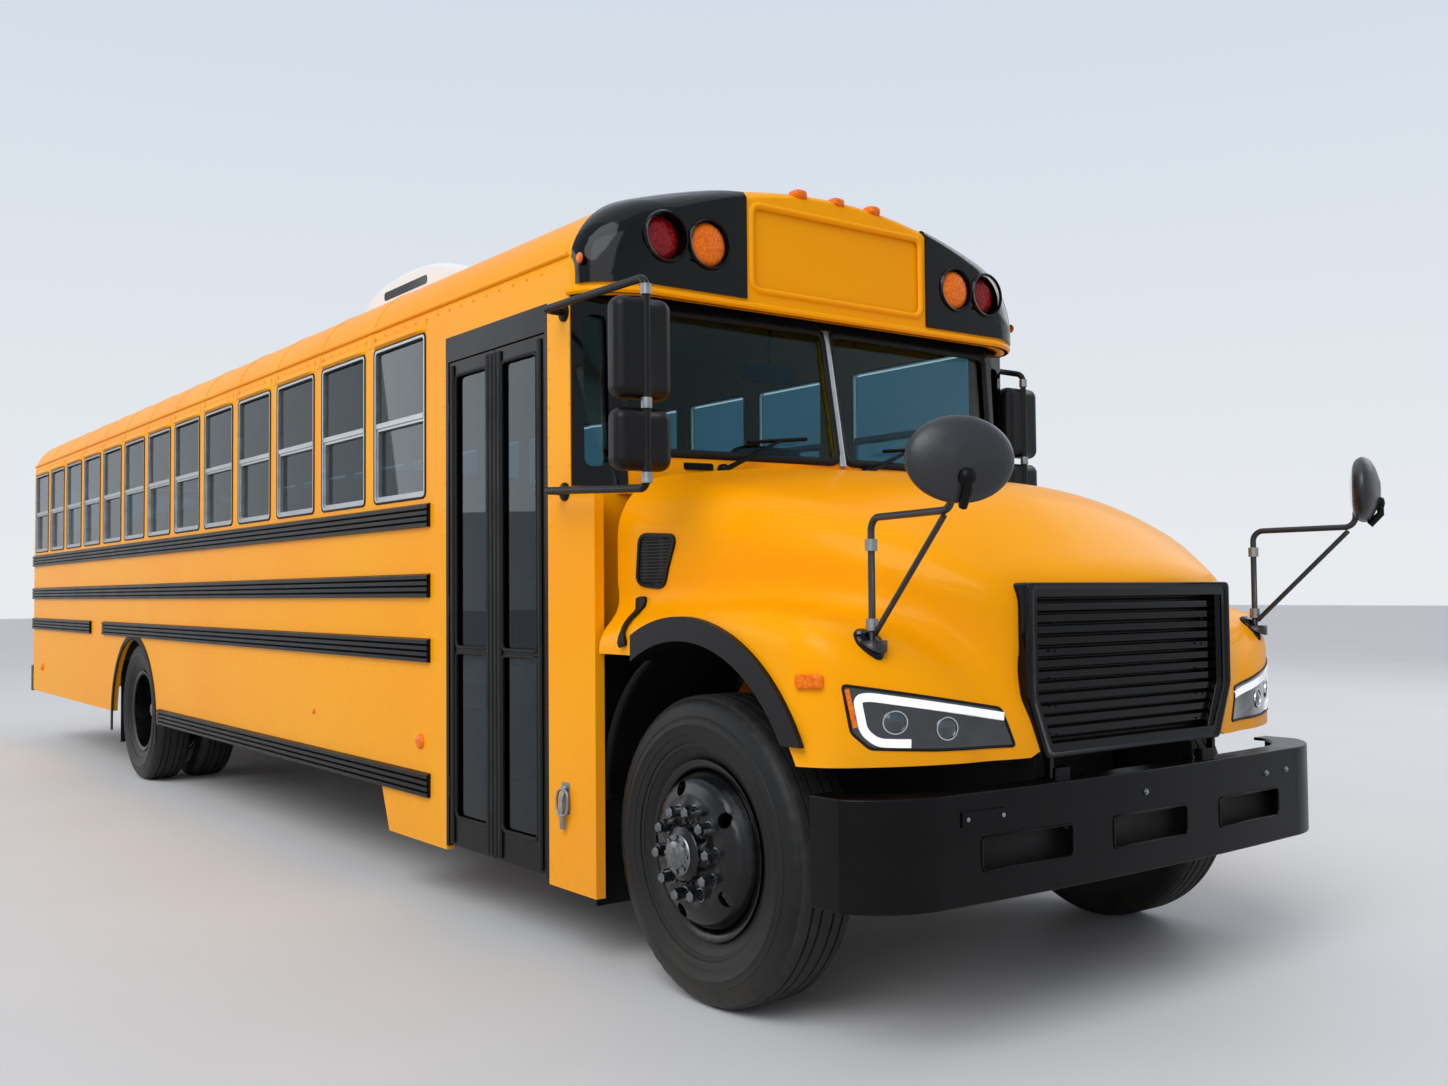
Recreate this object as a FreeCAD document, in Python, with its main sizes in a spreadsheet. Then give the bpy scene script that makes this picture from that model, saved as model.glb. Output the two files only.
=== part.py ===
import FreeCAD, Part
import math
import os
import re

import Sketcher

# A conventional (bonneted) school bus, in millimetres: +X forward, +Y to its left, +Z up.
# Lengths along the bus are distances from the front axle; heights are above the ground.
SIZES = {
    # Overall
    "front_reach": 1220, "rear_reach": 11280, "wheelbase": 7260, "body_width": 2438,
    "body_rear": 11200, "wall": 40, "crown_height": 3080, "eaves_height": 2610,
    "roof_corner": 330, "skirt_height": 480, "fit": 0.3,
    # Side walls
    "window_count": 13, "window_pitch": 706, "window_width": 580, "window_sill": 1840,
    "window_head": 2590, "first_window": 2026, "side_front": 561, "low_skirt": 270,
    "low_skirt_back": 2521, "low_skirt_slope": 90, "belt_height": 1770, "pillar_back": 735,
    "arch_radius": 650, "arch_height": 430, "driver_window_front": 900,
    "driver_window_back": 1780, "rear_wall": 45,
    # Window frames and glass
    "sash_bar": 26, "sash_depth": 34, "sash_proud": 4, "pane": 5, "pane_step": 12,
    # Entrance
    "door_front": 904, "door_back": 1811, "door_head": 2530, "door_sill": 290, "jamb": 25,
    "header": 110, "leaf_thickness": 35, "leaf_border": 62, "leaf_gap": 6, "leaf_bar": 24,
    "leaf_inset": 4, "step_rise": 223, "step_first": 330, "step_run": 240, "step_plate": 30,
    "well_inner": 470,
    # Roof hatch and roof unit
    "hatch_length": 640, "hatch_width": 620, "hatch_front": 7380, "hatch_curb": 40,
    "hatch_lid": 45, "hatch_lip": 30, "unit_half": 600, "unit_skin": 12, "unit_soft": 45,
    # Front cap, lamps and windshield frame
    "cap_front": 541, "cap_bottom": 2530, "cap_shell": 40, "housing_inner": 510,
    "housing_outer": 1212, "housing_low": 2570, "housing_high": 3010, "housing_proud": 8,
    "lamp_radius": 88, "lamp_depth": 40, "amber_side": 700, "red_side": 905,
    "lamp_height": 2762, "sign_half": 470, "sign_low": 2620, "sign_high": 2950,
    "sign_depth": 12, "shield_nose": 546, "shield_rake": 100, "shield_sweep": 94,
    "shield_half": 1060, "shield_low": 1935, "shield_top": 2500, "shield_edge": 1030,
    "shield_bar": 36, "shield_pane": 8, "firewall_back": 680, "firewall_thick": 40,
    "firewall_low": 900,
    # Floor and chassis
    "floor_height": 1000, "floor_plate": 40, "bearer_depth": 80, "bearer_width": 60,
    "bearer_count": 14, "house_width": 659, "house_top": 1150, "house_half": 640,
    "house_plate": 20, "rail_spread": 864, "rail_height": 265, "rail_flange": 80,
    "rail_plate": 8, "rail_front": 830, "rail_back": 11060, "member_width": 70,
    "member_height": 180,
    # Running gear
    "tyre_radius": 522, "tyre_width": 280, "bead_radius": 286, "rim_width": 210,
    "rim_flange": 303, "front_track": 2060, "kingpin_spread": 1760, "beam_height": 90,
    "beam_depth": 110, "beam_drop": 440, "spindle_radius": 38, "boss_radius": 44,
    "boss_height": 130, "dual_outer": 1045, "axle_tube": 70,
    "axle_half": 640, "diff_radius": 205, "hub_radius": 95, "stud_circle": 285.75,
    "stud_radius": 15, "stud_count": 10, "hand_hole": 26, "hand_circle": 216,
    "hand_count": 5, "disc_face": 165, "disc_plate": 12, "nut_height": 34, "hub_reach": 20,
    "spring_width": 76, "front_spring": 700, "rear_spring": 780,
    "spring_leaf": 14, "pin_gap": 0.5,
    # Engine, tank and exhaust
    "engine_front": 560, "engine_back": 480, "engine_half": 330, "engine_low": 640,
    "engine_top": 1420, "radiator_front": 790, "radiator_back": 700, "radiator_half": 400,
    "radiator_top": 1360, "tank_front": 3300, "tank_back": 4700,
    "tank_inner": 470, "tank_outer": 1120, "tank_low": 500, "tank_top": 880,
    # Nose: hood and fenders in one piece
    "hood_back": 541, "hood_skin": 12, "hood_skirt": 1170, "fender_bottom": 866, "nose_front": 905,
    "pivot_ahead": 900, "pivot_height": 810, "ear_radius": 16,
    "wheel_arch": 625, "wheel_arch_height": 620, "flare_band": 66, "flare_proud": 18,
    "flare_lip": 110, "grille_half": 545, "grille_low": 862, "grille_high": 1410,
    "grille_depth": 70, "grille_border": 42, "slat_count": 12, "slat_height": 22,
    "slat_depth": 26, "grille_chamfer": 75, "grille_knee": 1050,
    # Bumpers
    "bumper_front": 959, "bumper_low": 460, "bumper_high": 790, "bumper_plate": 12,
    "bumper_bow": 190, "bumper_back": 640, "bumper_slot_low": 555, "bumper_slot_high": 655,
    "rear_bumper_low": 470, "rear_bumper_high": 720,
    # Rails along the sides
    "rub_proud": 20, "rub_front": 1972, "rub_high": 1753, "rub_middle": 1432,
    "rub_low": 1138, "rub_skirt": 531, "rub_height": 110, "rub_gap_front": 8219,
    "rub_gap_back": 8658, "rub_skirt_back": 6515,
    # Seats and driver's place
    "seat_rows": 12, "seat_first": 2500, "seat_width": 990, "seat_outer": 1165,
    "seat_base": 1330, "seat_pad": 130, "seat_length": 400, "seat_back": 110,
    "seat_top": 2050, "leg": 30,
    # Mirrors
    "mirror_reach": 1452, "mirror_tube": 14, "cross_tube": 11,
    # Stop arm and rear door
    "stop_size": 457, "stop_thick": 8, "stop_front": 2140, "stop_height": 1590,
    "rear_door_half": 420, "rear_door_low": 1004, "rear_door_high": 2520,
    "rear_door_gap": 6,
}

AXLE = "((rear_reach - front_reach) / 2)"
REAR_AXLE = f"({AXLE} - wheelbase)"
SIDE = "(body_width / 2)"
INSIDE = "(body_width / 2 - wall)"
RAIL_TOP = "(floor_height - floor_plate - bearer_depth)"
DUAL_INNER = "(dual_outer - 2 * disc_face - fit)"
WORD = re.compile(r"[a-z][a-z_]+")

doc = FreeCAD.newDocument("school_bus")
sheet = doc.addObject("Spreadsheet::Sheet", "dims")
for number, (alias, size) in enumerate(SIZES.items(), 1):
    sheet.set(f"A{number}", alias)
    sheet.set(f"B{number}", str(size))
    sheet.setAlias(f"B{number}", alias)
doc.recompute()
nodes = []


def cell(text):
    """An expression in which every size is read from its cell of the sheet."""
    return WORD.sub(lambda m: f"dims.{m.group(0)}" if m.group(0) in SIZES else m.group(0), str(text))


def value(text):
    """The number that an expression of the sizes comes to."""
    result = sheet.evalExpression(cell(text))
    return float(getattr(result, "Value", result))


def fore(text):
    """A place ahead of the front axle."""
    return f"({AXLE} + ({text}))"


def aft(text):
    """A place behind the front axle."""
    return f"({AXLE} - ({text}))"


def point(x, y, z):
    """A point from three expressions."""
    return FreeCAD.Vector(value(x), value(y), value(z))


def node(thing, label):
    """Names a finished sub-part, which is also the name of its file."""
    thing.Label = label
    nodes.append(thing)
    return thing


def place(thing, x, y, z):
    """Binds where a thing stands."""
    for axis, text in zip("xyz", (x, y, z)):
        thing.setExpression(f"Placement.Base.{axis}", cell(text))
    return thing


def box(name, low, high):
    """A block between two corners."""
    block = doc.addObject("Part::Box", name)
    for side, start, end in zip(("Length", "Width", "Height"), low, high):
        block.setExpression(side, cell(f"({end}) - ({start})"))
    return place(block, *low)


def rod(name, start, axis, radius, length):
    """A round bar from a point along one axis."""
    bar = doc.addObject("Part::Cylinder", name)
    turn = {"x": ((0, 1, 0), 90), "y": ((1, 0, 0), -90), "z": ((0, 0, 1), 0)}[axis]
    bar.Placement.Rotation = FreeCAD.Rotation(FreeCAD.Vector(*turn[0]), turn[1])
    bar.setExpression("Radius", cell(radius))
    bar.setExpression("Height", cell(length))
    return place(bar, *start)


def join(name, pieces):
    """Several pieces welded into one."""
    weld = doc.addObject("Part::MultiFuse", name)
    weld.Shapes = pieces
    weld.Refine = True
    return weld


def cut(name, base, tools):
    """A piece with others taken out of it."""
    difference = doc.addObject("Part::Cut", name)
    difference.Base = base
    difference.Tool = tools[0] if len(tools) == 1 else join(f"{name}_tools", tools)
    return difference


def group(name, pieces):
    """Like pieces that stay separate solids."""
    compound = doc.addObject("Part::Compound", name)
    compound.Links = pieces
    return compound


def mirror(name, source):
    """The same piece on the other side of the bus."""
    twin = doc.addObject("Part::Mirroring", name)
    twin.Source = source
    twin.Normal = FreeCAD.Vector(0, 1, 0)
    return twin


def computed(name, shape):
    """A piece whose form is worked out here from the sizes."""
    feature = doc.addObject("Part::Feature", name)
    feature.Shape = shape
    return feature


def body_of(name):
    """An empty PartDesign body."""
    return doc.addObject("PartDesign::Body", name)


def sketch(body, name, plane, loops, start="0"):
    """Closed outlines on one of the body's origin planes, every corner bound to the sheet.

    A corner is (across, up), or (across, up, radius) where an arc leads on to the next one:
    its centre is on the left of the way for a positive radius and on the right otherwise.
    """
    drawing = body.newObject("Sketcher::SketchObject", name)
    origin = [item for item in body.Origin.OriginFeatures if item.Role == plane][0]
    drawing.AttachmentSupport = [(origin, "")]
    drawing.MapMode = "FlatFace"
    drawing.setExpression("AttachmentOffset.Base.z", cell(start))
    for corners in loops:
        spots = [FreeCAD.Vector(value(c[0]), value(c[1]), 0) for c in corners]
        ends = []
        for index, corner in enumerate(corners):
            here, there = spots[index], spots[(index + 1) % len(spots)]
            if len(corner) == 2:
                edge = drawing.addGeometry(Part.LineSegment(here, there), False)
                ends.append((edge, 1, 2))
                continue
            radius = value(corner[2])
            chord = there - here
            reach = math.sqrt(max(radius ** 2 - chord.Length ** 2 / 4, 0)) / chord.Length
            left = FreeCAD.Vector(-chord.y, chord.x, 0) * math.copysign(reach, radius)
            centre = here + chord / 2 + left
            first, last = (here, there) if radius > 0 else (there, here)
            angles = [math.atan2(p.y - centre.y, p.x - centre.x) for p in (first, last)]
            circle = Part.Circle(centre, FreeCAD.Vector(0, 0, 1), abs(radius))
            edge = drawing.addGeometry(Part.ArcOfCircle(circle, *angles), False)
            ends.append((edge, 1, 2) if radius > 0 else (edge, 2, 1))
            rule = drawing.addConstraint(Sketcher.Constraint("Radius", edge, abs(radius)))
            drawing.setExpression(f"Constraints[{rule}]", cell(f"abs({corner[2]})"))
        for index, (edge, first, last) in enumerate(ends):
            after, start_of_next, _ = ends[(index + 1) % len(ends)]
            drawing.addConstraint(Sketcher.Constraint("Coincident", edge, last, after, start_of_next))
            for kind, text, number in (("DistanceX", corners[index][0], spots[index].x),
                                       ("DistanceY", corners[index][1], spots[index].y)):
                rule = drawing.addConstraint(Sketcher.Constraint(kind, -1, 1, edge, first, number))
                drawing.setExpression(f"Constraints[{rule}]", cell(text))
    return drawing


def pad(body, name, plane, loops, start, length):
    """Adds an outline's thickness to a body, along the plane's normal from its start."""
    feature = body.newObject("PartDesign::Pad", name)
    feature.Profile = sketch(body, f"{name}_sketch", plane, loops, start)
    feature.setExpression("Length", cell(length))
    return feature


def pocket(body, name, plane, loops, start, length):
    """Takes an outline out of a body, on both sides of the plane at its start."""
    feature = body.newObject("PartDesign::Pocket", name)
    feature.Profile = sketch(body, f"{name}_sketch", plane, loops, start)
    feature.Midplane = True
    feature.setExpression("Length", cell(length))
    return feature


def row_of(body, name, feature, axis, length, count):
    """Repeats a feature along an axis of the body."""
    pattern = body.newObject("PartDesign::LinearPattern", name)
    pattern.Originals = [feature]
    origin = [item for item in body.Origin.OriginFeatures if item.Role == axis][0]
    pattern.Direction = (origin, [""])
    pattern.Reversed = True
    pattern.setExpression("Length", cell(length))
    pattern.setExpression("Occurrences", cell(count))
    body.Tip = pattern
    return pattern


def ring_of(body, name, feature, count):
    """Repeats a feature round the body's Y axis."""
    pattern = body.newObject("PartDesign::PolarPattern", name)
    pattern.Originals = [feature]
    origin = [item for item in body.Origin.OriginFeatures if item.Role == "Y_Axis"][0]
    pattern.Axis = (origin, [""])
    pattern.Angle = 360
    pattern.setExpression("Occurrences", cell(count))
    body.Tip = pattern
    return pattern


def spun(body, name, corners):
    """Adds an outline of radius and depth, turned about the body's Y axis."""
    feature = body.newObject("PartDesign::Revolution", name)
    feature.Profile = sketch(body, f"{name}_sketch", "XY_Plane", [corners])
    feature.ReferenceAxis = (feature.Profile[0], ["V_Axis"])
    feature.Angle = 360
    return feature


def rectangle(low, high):
    """The four corners of a rectangle."""
    return [(low[0], low[1]), (high[0], low[1]), (high[0], high[1]), (low[0], high[1])]


def slab(name, plane, loops, start, length):
    """A body that is one padded outline."""
    body = body_of(name)
    pad(body, f"{name}_pad", plane, loops, start, length)
    return body


def tube(path, radius, bend):
    """A bent round tube: straight runs through the points, joined by arcs of one radius."""
    edges = []
    here = path[0]
    for before, corner, after in zip(path, path[1:], path[2:]):
        back = (before - corner).normalize()
        ahead = (after - corner).normalize()
        half = back.getAngle(ahead) / 2
        setback = bend / math.tan(half)
        first = corner + back * setback
        last = corner + ahead * setback
        middle = corner + (back + ahead).normalize() * (bend / math.sin(half) - bend)
        edges.append(Part.LineSegment(here, first).toShape())
        edges.append(Part.Arc(first, middle, last).toShape())
        here = last
    edges.append(Part.LineSegment(here, path[-1]).toShape())
    spine = Part.Wire(edges)
    profile = Part.Wire(Part.Circle(path[0], path[1] - path[0], radius).toShape())
    return spine.makePipeShell([profile], True, True)


def prism(points, depth):
    """A straight-sided solid over a polygon."""
    return Part.Face(Part.makePolygon(points + points[:1])).extrude(depth)


# Chassis: two channel rails with cross members, and the bumper hung on their front ends.
RAIL_OUT = "(rail_spread / 2)"
RAIL_LOW = f"({RAIL_TOP} - rail_height)"
channel = [
    (RAIL_OUT, RAIL_TOP), (f"{RAIL_OUT} - rail_flange", RAIL_TOP),
    (f"{RAIL_OUT} - rail_flange", f"{RAIL_TOP} - rail_plate"),
    (f"{RAIL_OUT} - rail_plate", f"{RAIL_TOP} - rail_plate"),
    (f"{RAIL_OUT} - rail_plate", f"{RAIL_LOW} + rail_plate"),
    (f"{RAIL_OUT} - rail_flange", f"{RAIL_LOW} + rail_plate"),
    (f"{RAIL_OUT} - rail_flange", RAIL_LOW), (RAIL_OUT, RAIL_LOW),
]
rail = slab("rail", "YZ_Plane", [channel], aft("rail_back"), "rail_back + rail_front")
members = []
for index in range(8):
    middle = aft(f"rail_back - member_width - (rail_back - engine_back - 2 * member_width) * {index} / 7")
    members.append(box(
        f"member_{index}",
        (f"{middle} - member_width / 2", f"rail_plate - {RAIL_OUT}", f"{RAIL_LOW} + rail_plate"),
        (f"{middle} + member_width / 2", f"{RAIL_OUT} - rail_plate",
         f"{RAIL_LOW} + rail_plate + member_height")))
node(join("frame_weld", [rail, mirror("rail_twin", rail)] + members), "chassis_frame")

# Floor: a plate on cross bearers that lie on the rails, open at the stepwell, with boxed
# wheelhouses over the rear tyres.
FLOOR_LOW = "(floor_height - floor_plate)"
WELL_FRONT = aft("door_front + jamb")
WELL_BACK = aft("door_back - jamb")
floor_plate = box("floor_sheet", (aft("body_rear - rear_wall"), f"-{INSIDE}", FLOOR_LOW),
                  (aft("firewall_back"), INSIDE, "floor_height"))
bearers = []
BEARERS = int(value("bearer_count"))
for index in range(BEARERS):
    middle = aft(f"body_rear - rear_wall - bearer_width"
                 f" - (body_rear - rear_wall - door_back - 2 * bearer_width) * {index} / {BEARERS - 1}")
    bearers.append(box(f"bearer_{index}",
                       (f"{middle} - bearer_width / 2", f"-{INSIDE}", RAIL_TOP),
                       (f"{middle} + bearer_width / 2", INSIDE, FLOOR_LOW)))
well_cut = box("well_cut", (WELL_BACK, f"-{INSIDE}", RAIL_TOP),
               (WELL_FRONT, "step_plate - well_inner", "floor_height"))
houses = []
hollows = []
for side, low, high in (("right", f"-{INSIDE}", f"house_width - {INSIDE}"),
                        ("left", f"{INSIDE} - house_width", INSIDE)):
    houses.append(box(f"house_{side}", (f"{REAR_AXLE} - house_half", low, RAIL_TOP),
                      (f"{REAR_AXLE} + house_half", high, "house_top")))
    hollows.append(box(f"hollow_{side}",
                       (f"{REAR_AXLE} - house_half + house_plate",
                        low if side == "right" else f"{low} + house_plate", RAIL_TOP),
                       (f"{REAR_AXLE} + house_half - house_plate",
                        high if side == "left" else f"{high} - house_plate",
                        "house_top - house_plate")))
floor_weld = join("floor_weld", [floor_plate] + bearers + houses)
node(cut("floor_cut", floor_weld, [well_cut] + hollows), "floor")

# Side walls: one plate each, with a row of window openings and a wheel arch. The right one
# is open at the entrance; the left one has the driver's window instead.
WALL_BACK = aft("body_rear - rear_wall")
LOW_FRONT = aft("low_skirt_back - low_skirt_slope")


def wall_body(name, start, door_corners):
    """A side wall with its windows and its rear wheel arch."""
    body = body_of(name)
    outline = [(WALL_BACK, "skirt_height"), (aft("low_skirt_back"), "skirt_height"),
               (LOW_FRONT, "low_skirt")] + door_corners
    outline += [(aft("side_front"), "low_skirt"), (aft("side_front"), "belt_height"),
                (aft("pillar_back"), "belt_height"), (aft("pillar_back"), "eaves_height"),
                (WALL_BACK, "eaves_height")]
    pad(body, f"{name}_pad", "XZ_Plane", [outline], start, "wall")
    arch = [(f"{REAR_AXLE} - arch_radius", "arch_height", "-arch_radius"),
            (REAR_AXLE, "arch_height + arch_radius", "-arch_radius"),
            (f"{REAR_AXLE} + arch_radius", "arch_height"),
            (f"{REAR_AXLE} + arch_radius", "arch_height - 200"),
            (f"{REAR_AXLE} - arch_radius", "arch_height - 200")]
    pocket(body, f"{name}_arch", "XZ_Plane", [arch], start, "4 * wall")
    opening = rectangle((aft("first_window + window_width"), "window_sill"),
                        (aft("first_window"), "window_head"))
    first = pocket(body, f"{name}_window", "XZ_Plane", [opening], start, "4 * wall")
    row_of(body, f"{name}_windows", first, "X_Axis",
           "(window_count - 1) * window_pitch", "window_count")
    return body


right_wall = wall_body("right_wall", INSIDE, [
    (aft("door_back"), "low_skirt"), (aft("door_back"), "door_head"),
    (aft("door_front"), "door_head"), (aft("door_front"), "low_skirt")])
node(right_wall, "side_wall_right")
left_wall = wall_body("left_wall", f"-{SIDE}", [])
driver_opening = rectangle((aft("driver_window_back"), "window_sill"),
                           (aft("driver_window_front"), "window_head"))
pocket(left_wall, "driver_window", "XZ_Plane", [driver_opening], f"-{SIDE}", "4 * wall")
node(left_wall, "side_wall_left")


def section(x, half, crown, bottom, corner):
    """The body's cross-section: straight sides, corner arcs and one crown arc tangent to them."""
    eaves = value("eaves_height")
    inward = half - corner
    drop = eaves - crown
    radius = (corner ** 2 - inward ** 2 - drop ** 2) / (2 * (drop + corner))
    angle = math.atan2(eaves - (crown - radius), inward)
    meet_y = inward + corner * math.cos(angle)
    meet_z = eaves + corner * math.sin(angle)
    half_angle = angle / 2
    mid_y = inward + corner * math.cos(half_angle)
    mid_z = eaves + corner * math.sin(half_angle)

    def at(y, z):
        return FreeCAD.Vector(x, y, z)

    arcs = [
        Part.Arc(at(-half, eaves), at(-mid_y, mid_z), at(-meet_y, meet_z)).toShape(),
        Part.Arc(at(-meet_y, meet_z), at(0, crown), at(meet_y, meet_z)).toShape(),
        Part.Arc(at(meet_y, meet_z), at(mid_y, mid_z), at(half, eaves)).toShape(),
    ]
    if bottom > eaves - 0.01:
        return Part.Wire(arcs + [Part.LineSegment(at(half, eaves), at(-half, eaves)).toShape()])
    return Part.Wire([Part.LineSegment(at(-half, bottom), at(-half, eaves)).toShape()] + arcs + [
        Part.LineSegment(at(half, eaves), at(half, bottom)).toShape(),
        Part.LineSegment(at(half, bottom), at(-half, bottom)).toShape(),
    ])


def body_bar(back, front, inset, bottom):
    """The body's cross-section carried along the bus."""
    wire = section(back, value(SIDE) - inset, value("crown_height") - inset, bottom,
                   value("roof_corner") - inset)
    return Part.Face(wire).extrude(FreeCAD.Vector(front - back, 0, 0))


# Roof: a bent sheet from the rear wall to the front cap, with a raised curb round its hatch.
ROOF_BACK = value(WALL_BACK)
ROOF_FRONT = value(aft("pillar_back"))
EAVES = value("eaves_height")
WALL = value("wall")
roof = body_bar(ROOF_BACK, ROOF_FRONT, 0, EAVES)
roof = roof.cut(body_bar(ROOF_BACK - 1, ROOF_FRONT + 1, WALL, EAVES - WALL))
HATCH_LENGTH = value("hatch_length")
HATCH_WIDTH = value("hatch_width")
CURB = value("hatch_curb")
CURB_TOP = value("crown_height + hatch_curb")
HATCH_FRONT = value(aft("hatch_front"))
curb = Part.makeBox(HATCH_LENGTH + 2 * CURB, HATCH_WIDTH + 2 * CURB, CURB_TOP - EAVES,
                    FreeCAD.Vector(HATCH_FRONT - HATCH_LENGTH - CURB, -HATCH_WIDTH / 2 - CURB, EAVES))
curb = curb.cut(body_bar(ROOF_BACK, ROOF_FRONT, WALL, EAVES - WALL))
hole = Part.makeBox(HATCH_LENGTH, HATCH_WIDTH, CURB_TOP - EAVES + 2,
                    FreeCAD.Vector(HATCH_FRONT - HATCH_LENGTH, -HATCH_WIDTH / 2, EAVES - 1))
roof = roof.fuse(curb).cut(hole)
node(computed("roof_sheet", roof.removeSplitter()), "roof_shell")

# Hatch lid: a shallow white pan over the curb, hinged at the front.
rim = "hatch_curb + hatch_lip"
lid = box("lid_pan", (aft(f"hatch_front + hatch_length + {rim}"), f"-hatch_width / 2 - ({rim})",
                      "crown_height + 5 * fit"),
          (aft(f"hatch_front - ({rim})"), f"hatch_width / 2 + {rim}",
           "crown_height + hatch_curb + hatch_lid"))
inner = "hatch_curb + 5"
hollow = box("lid_hollow", (aft(f"hatch_front + hatch_length + {inner}"), f"-hatch_width / 2 - ({inner})",
                            "crown_height"),
             (aft(f"hatch_front - ({inner})"), f"hatch_width / 2 + {inner}",
              "crown_height + hatch_curb + fit"))
node(cut("lid_cut", lid, [hollow]), "hatch_lid")


def smooth_prism(points, across):
    """A solid across the bus under a smooth line through points, down to the first one's foot."""
    line = Part.BSplineCurve()
    line.interpolate(points[1:-1])
    edges = [Part.LineSegment(points[0], points[1]).toShape(), line.toShape(),
             Part.LineSegment(points[-2], points[-1]).toShape(),
             Part.LineSegment(points[-1], points[0]).toShape()]
    return Part.Face(Part.Wire(edges)).extrude(FreeCAD.Vector(0, across, 0))


# Roof unit: a white moulded cowl with a long sloping front, hollow, standing on the roof.
# Its line: distance behind the axle and height.
UNIT_LINE = ((4320, 3110), (4240, 3190), (4040, 3254), (3560, 3285), (3100, 3225), (2800, 3125), (2690, 3080))


def unit_form(inset, soft):
    """The cowl's form down into the roof, shrunk by an inset, its two long top edges rounded by soft."""
    half = value("unit_half") - 3 * inset
    line = [FreeCAD.Vector(value(aft(back)), -half, height - inset) for back, height in UNIT_LINE]
    line[0].x += inset
    line[-1].x -= inset
    feet = [FreeCAD.Vector(end.x, -half, EAVES) for end in (line[0], line[-1])]
    form = smooth_prism(feet[:1] + line + feet[1:], 2 * half)
    if soft == 0:
        return form
    long_edges = [edge for edge in form.Edges if edge.Curve.TypeId == "Part::GeomBSplineCurve"]
    return form.makeFillet(soft, long_edges)


cowl = unit_form(0, value("unit_soft")).cut(unit_form(value("unit_skin"), 0))
cowl = cowl.cut(body_bar(ROOF_BACK, ROOF_FRONT, -value("fit"), EAVES - WALL))
node(computed("unit_cowl", cowl), "roof_unit")

# Rear wall: a plate with the body's outline, a doorway and two windows.
REAR = value(aft("body_rear"))
rear = body_bar(REAR, ROOF_BACK, 0, value("skirt_height"))
rounded = [edge for edge in rear.Edges
           if abs(edge.BoundBox.XMax - REAR) < 0.01 and edge.BoundBox.ZMax > value("skirt_height") + 1]
rear = rear.makeFillet(value("rear_wall") - 5, rounded)
DOOR_HALF = value("rear_door_half")
doorway = Part.makeBox(200, 2 * DOOR_HALF, value("rear_door_high - rear_door_low"),
                       FreeCAD.Vector(REAR - 50, -DOOR_HALF, value("rear_door_low")))
rear = rear.cut(doorway)
for side in (-1, 1):
    opening = Part.makeBox(200, 420, 560, FreeCAD.Vector(REAR - 50, side * 800 - 210, 1920))
    rear = rear.cut(opening)
node(computed("rear_plate", rear), "rear_wall")


def rear_pane(name, low, high):
    """A sheet of glass in the middle of the rear wall's thickness."""
    middle = "rear_wall / 2"
    return box(name, (aft(f"body_rear - {middle} + pane"), low[0], low[1]),
               (aft(f"body_rear - {middle}"), high[0], high[1]))


# Rear emergency door: one leaf hinged on its left edge, with an upper and a lower pane.
leaf_low = ("rear_door_gap - rear_door_half", "rear_door_low + rear_door_gap")
leaf_high = ("rear_door_half - rear_door_gap", "rear_door_high - rear_door_gap")
upper = (("leaf_border + rear_door_gap - rear_door_half", "1900"),
         ("rear_door_half - rear_door_gap - leaf_border", "rear_door_high - rear_door_gap - leaf_border"))
lower = ((upper[0][0], "1180"), (upper[1][0], "1640"))
rear_leaf = slab("rear_leaf", "YZ_Plane",
                 [rectangle(leaf_low, leaf_high), rectangle(*upper), rectangle(*lower)],
                 aft("body_rear"), "rear_wall - 5")
hinges = []
for level in (1100, 1750, 2380):
    hinges.append(rod(f"rear_barrel_{level}", (aft("body_rear + 13"), "-rear_door_half - 4", f"{level}"),
                      "z", "13 - pin_gap", "70"))
    hinges.append(box(f"rear_strap_{level}", (aft("body_rear + 14"), "-rear_door_half - 4", f"{level}"),
                      (aft("body_rear + 1"), "60 - rear_door_half", f"{level} + 70")))
    hinges.append(box(f"rear_seat_{level}", (aft("body_rear + 14"), "10 - rear_door_half", f"{level}"),
                      (aft("body_rear - 2"), "60 - rear_door_half", f"{level} + 70")))
node(join("rear_door_weld", [rear_leaf] + hinges), "rear_door")
node(group("rear_door_panes", [rear_pane("pane_upper", *upper), rear_pane("pane_lower", *lower)]),
     "rear_door_glass")

# Entrance: jambs and header in the wall's opening, with the stepwell behind them.
jamb_rear = box("jamb_rear", (aft("door_back"), f"-{SIDE}", "door_sill"),
                (WELL_BACK, f"-{INSIDE}", "door_head"))
jamb_front = box("jamb_front", (WELL_FRONT, f"-{SIDE}", "door_sill"),
                 (aft("door_front"), f"-{INSIDE}", "door_head"))
head = box("door_header", (WELL_BACK, f"-{SIDE}", "door_head - header"),
           (WELL_FRONT, f"-{INSIDE}", "door_head"))
TREAD_OUT = f"(5 - {INSIDE})"
treads = [(TREAD_OUT, "door_sill"), (TREAD_OUT, "step_first"),
          (f"{TREAD_OUT} + step_run", "step_first"),
          (f"{TREAD_OUT} + step_run", "step_first + step_rise"),
          (f"{TREAD_OUT} + 2 * step_run", "step_first + step_rise"),
          (f"{TREAD_OUT} + 2 * step_run", "step_first + 2 * step_rise"),
          ("-well_inner", "step_first + 2 * step_rise"), ("-well_inner", "floor_height"),
          ("step_plate - well_inner", "floor_height"),
          ("step_plate - well_inner", "step_first + 2 * step_rise - step_plate"),
          (f"{TREAD_OUT} + 2 * step_run + step_plate", "step_first + 2 * step_rise - step_plate"),
          (f"{TREAD_OUT} + 2 * step_run + step_plate", "step_first + step_rise - step_plate"),
          (f"{TREAD_OUT} + step_run + step_plate", "step_first + step_rise - step_plate"),
          (f"{TREAD_OUT} + step_run + step_plate", "door_sill")]
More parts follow.
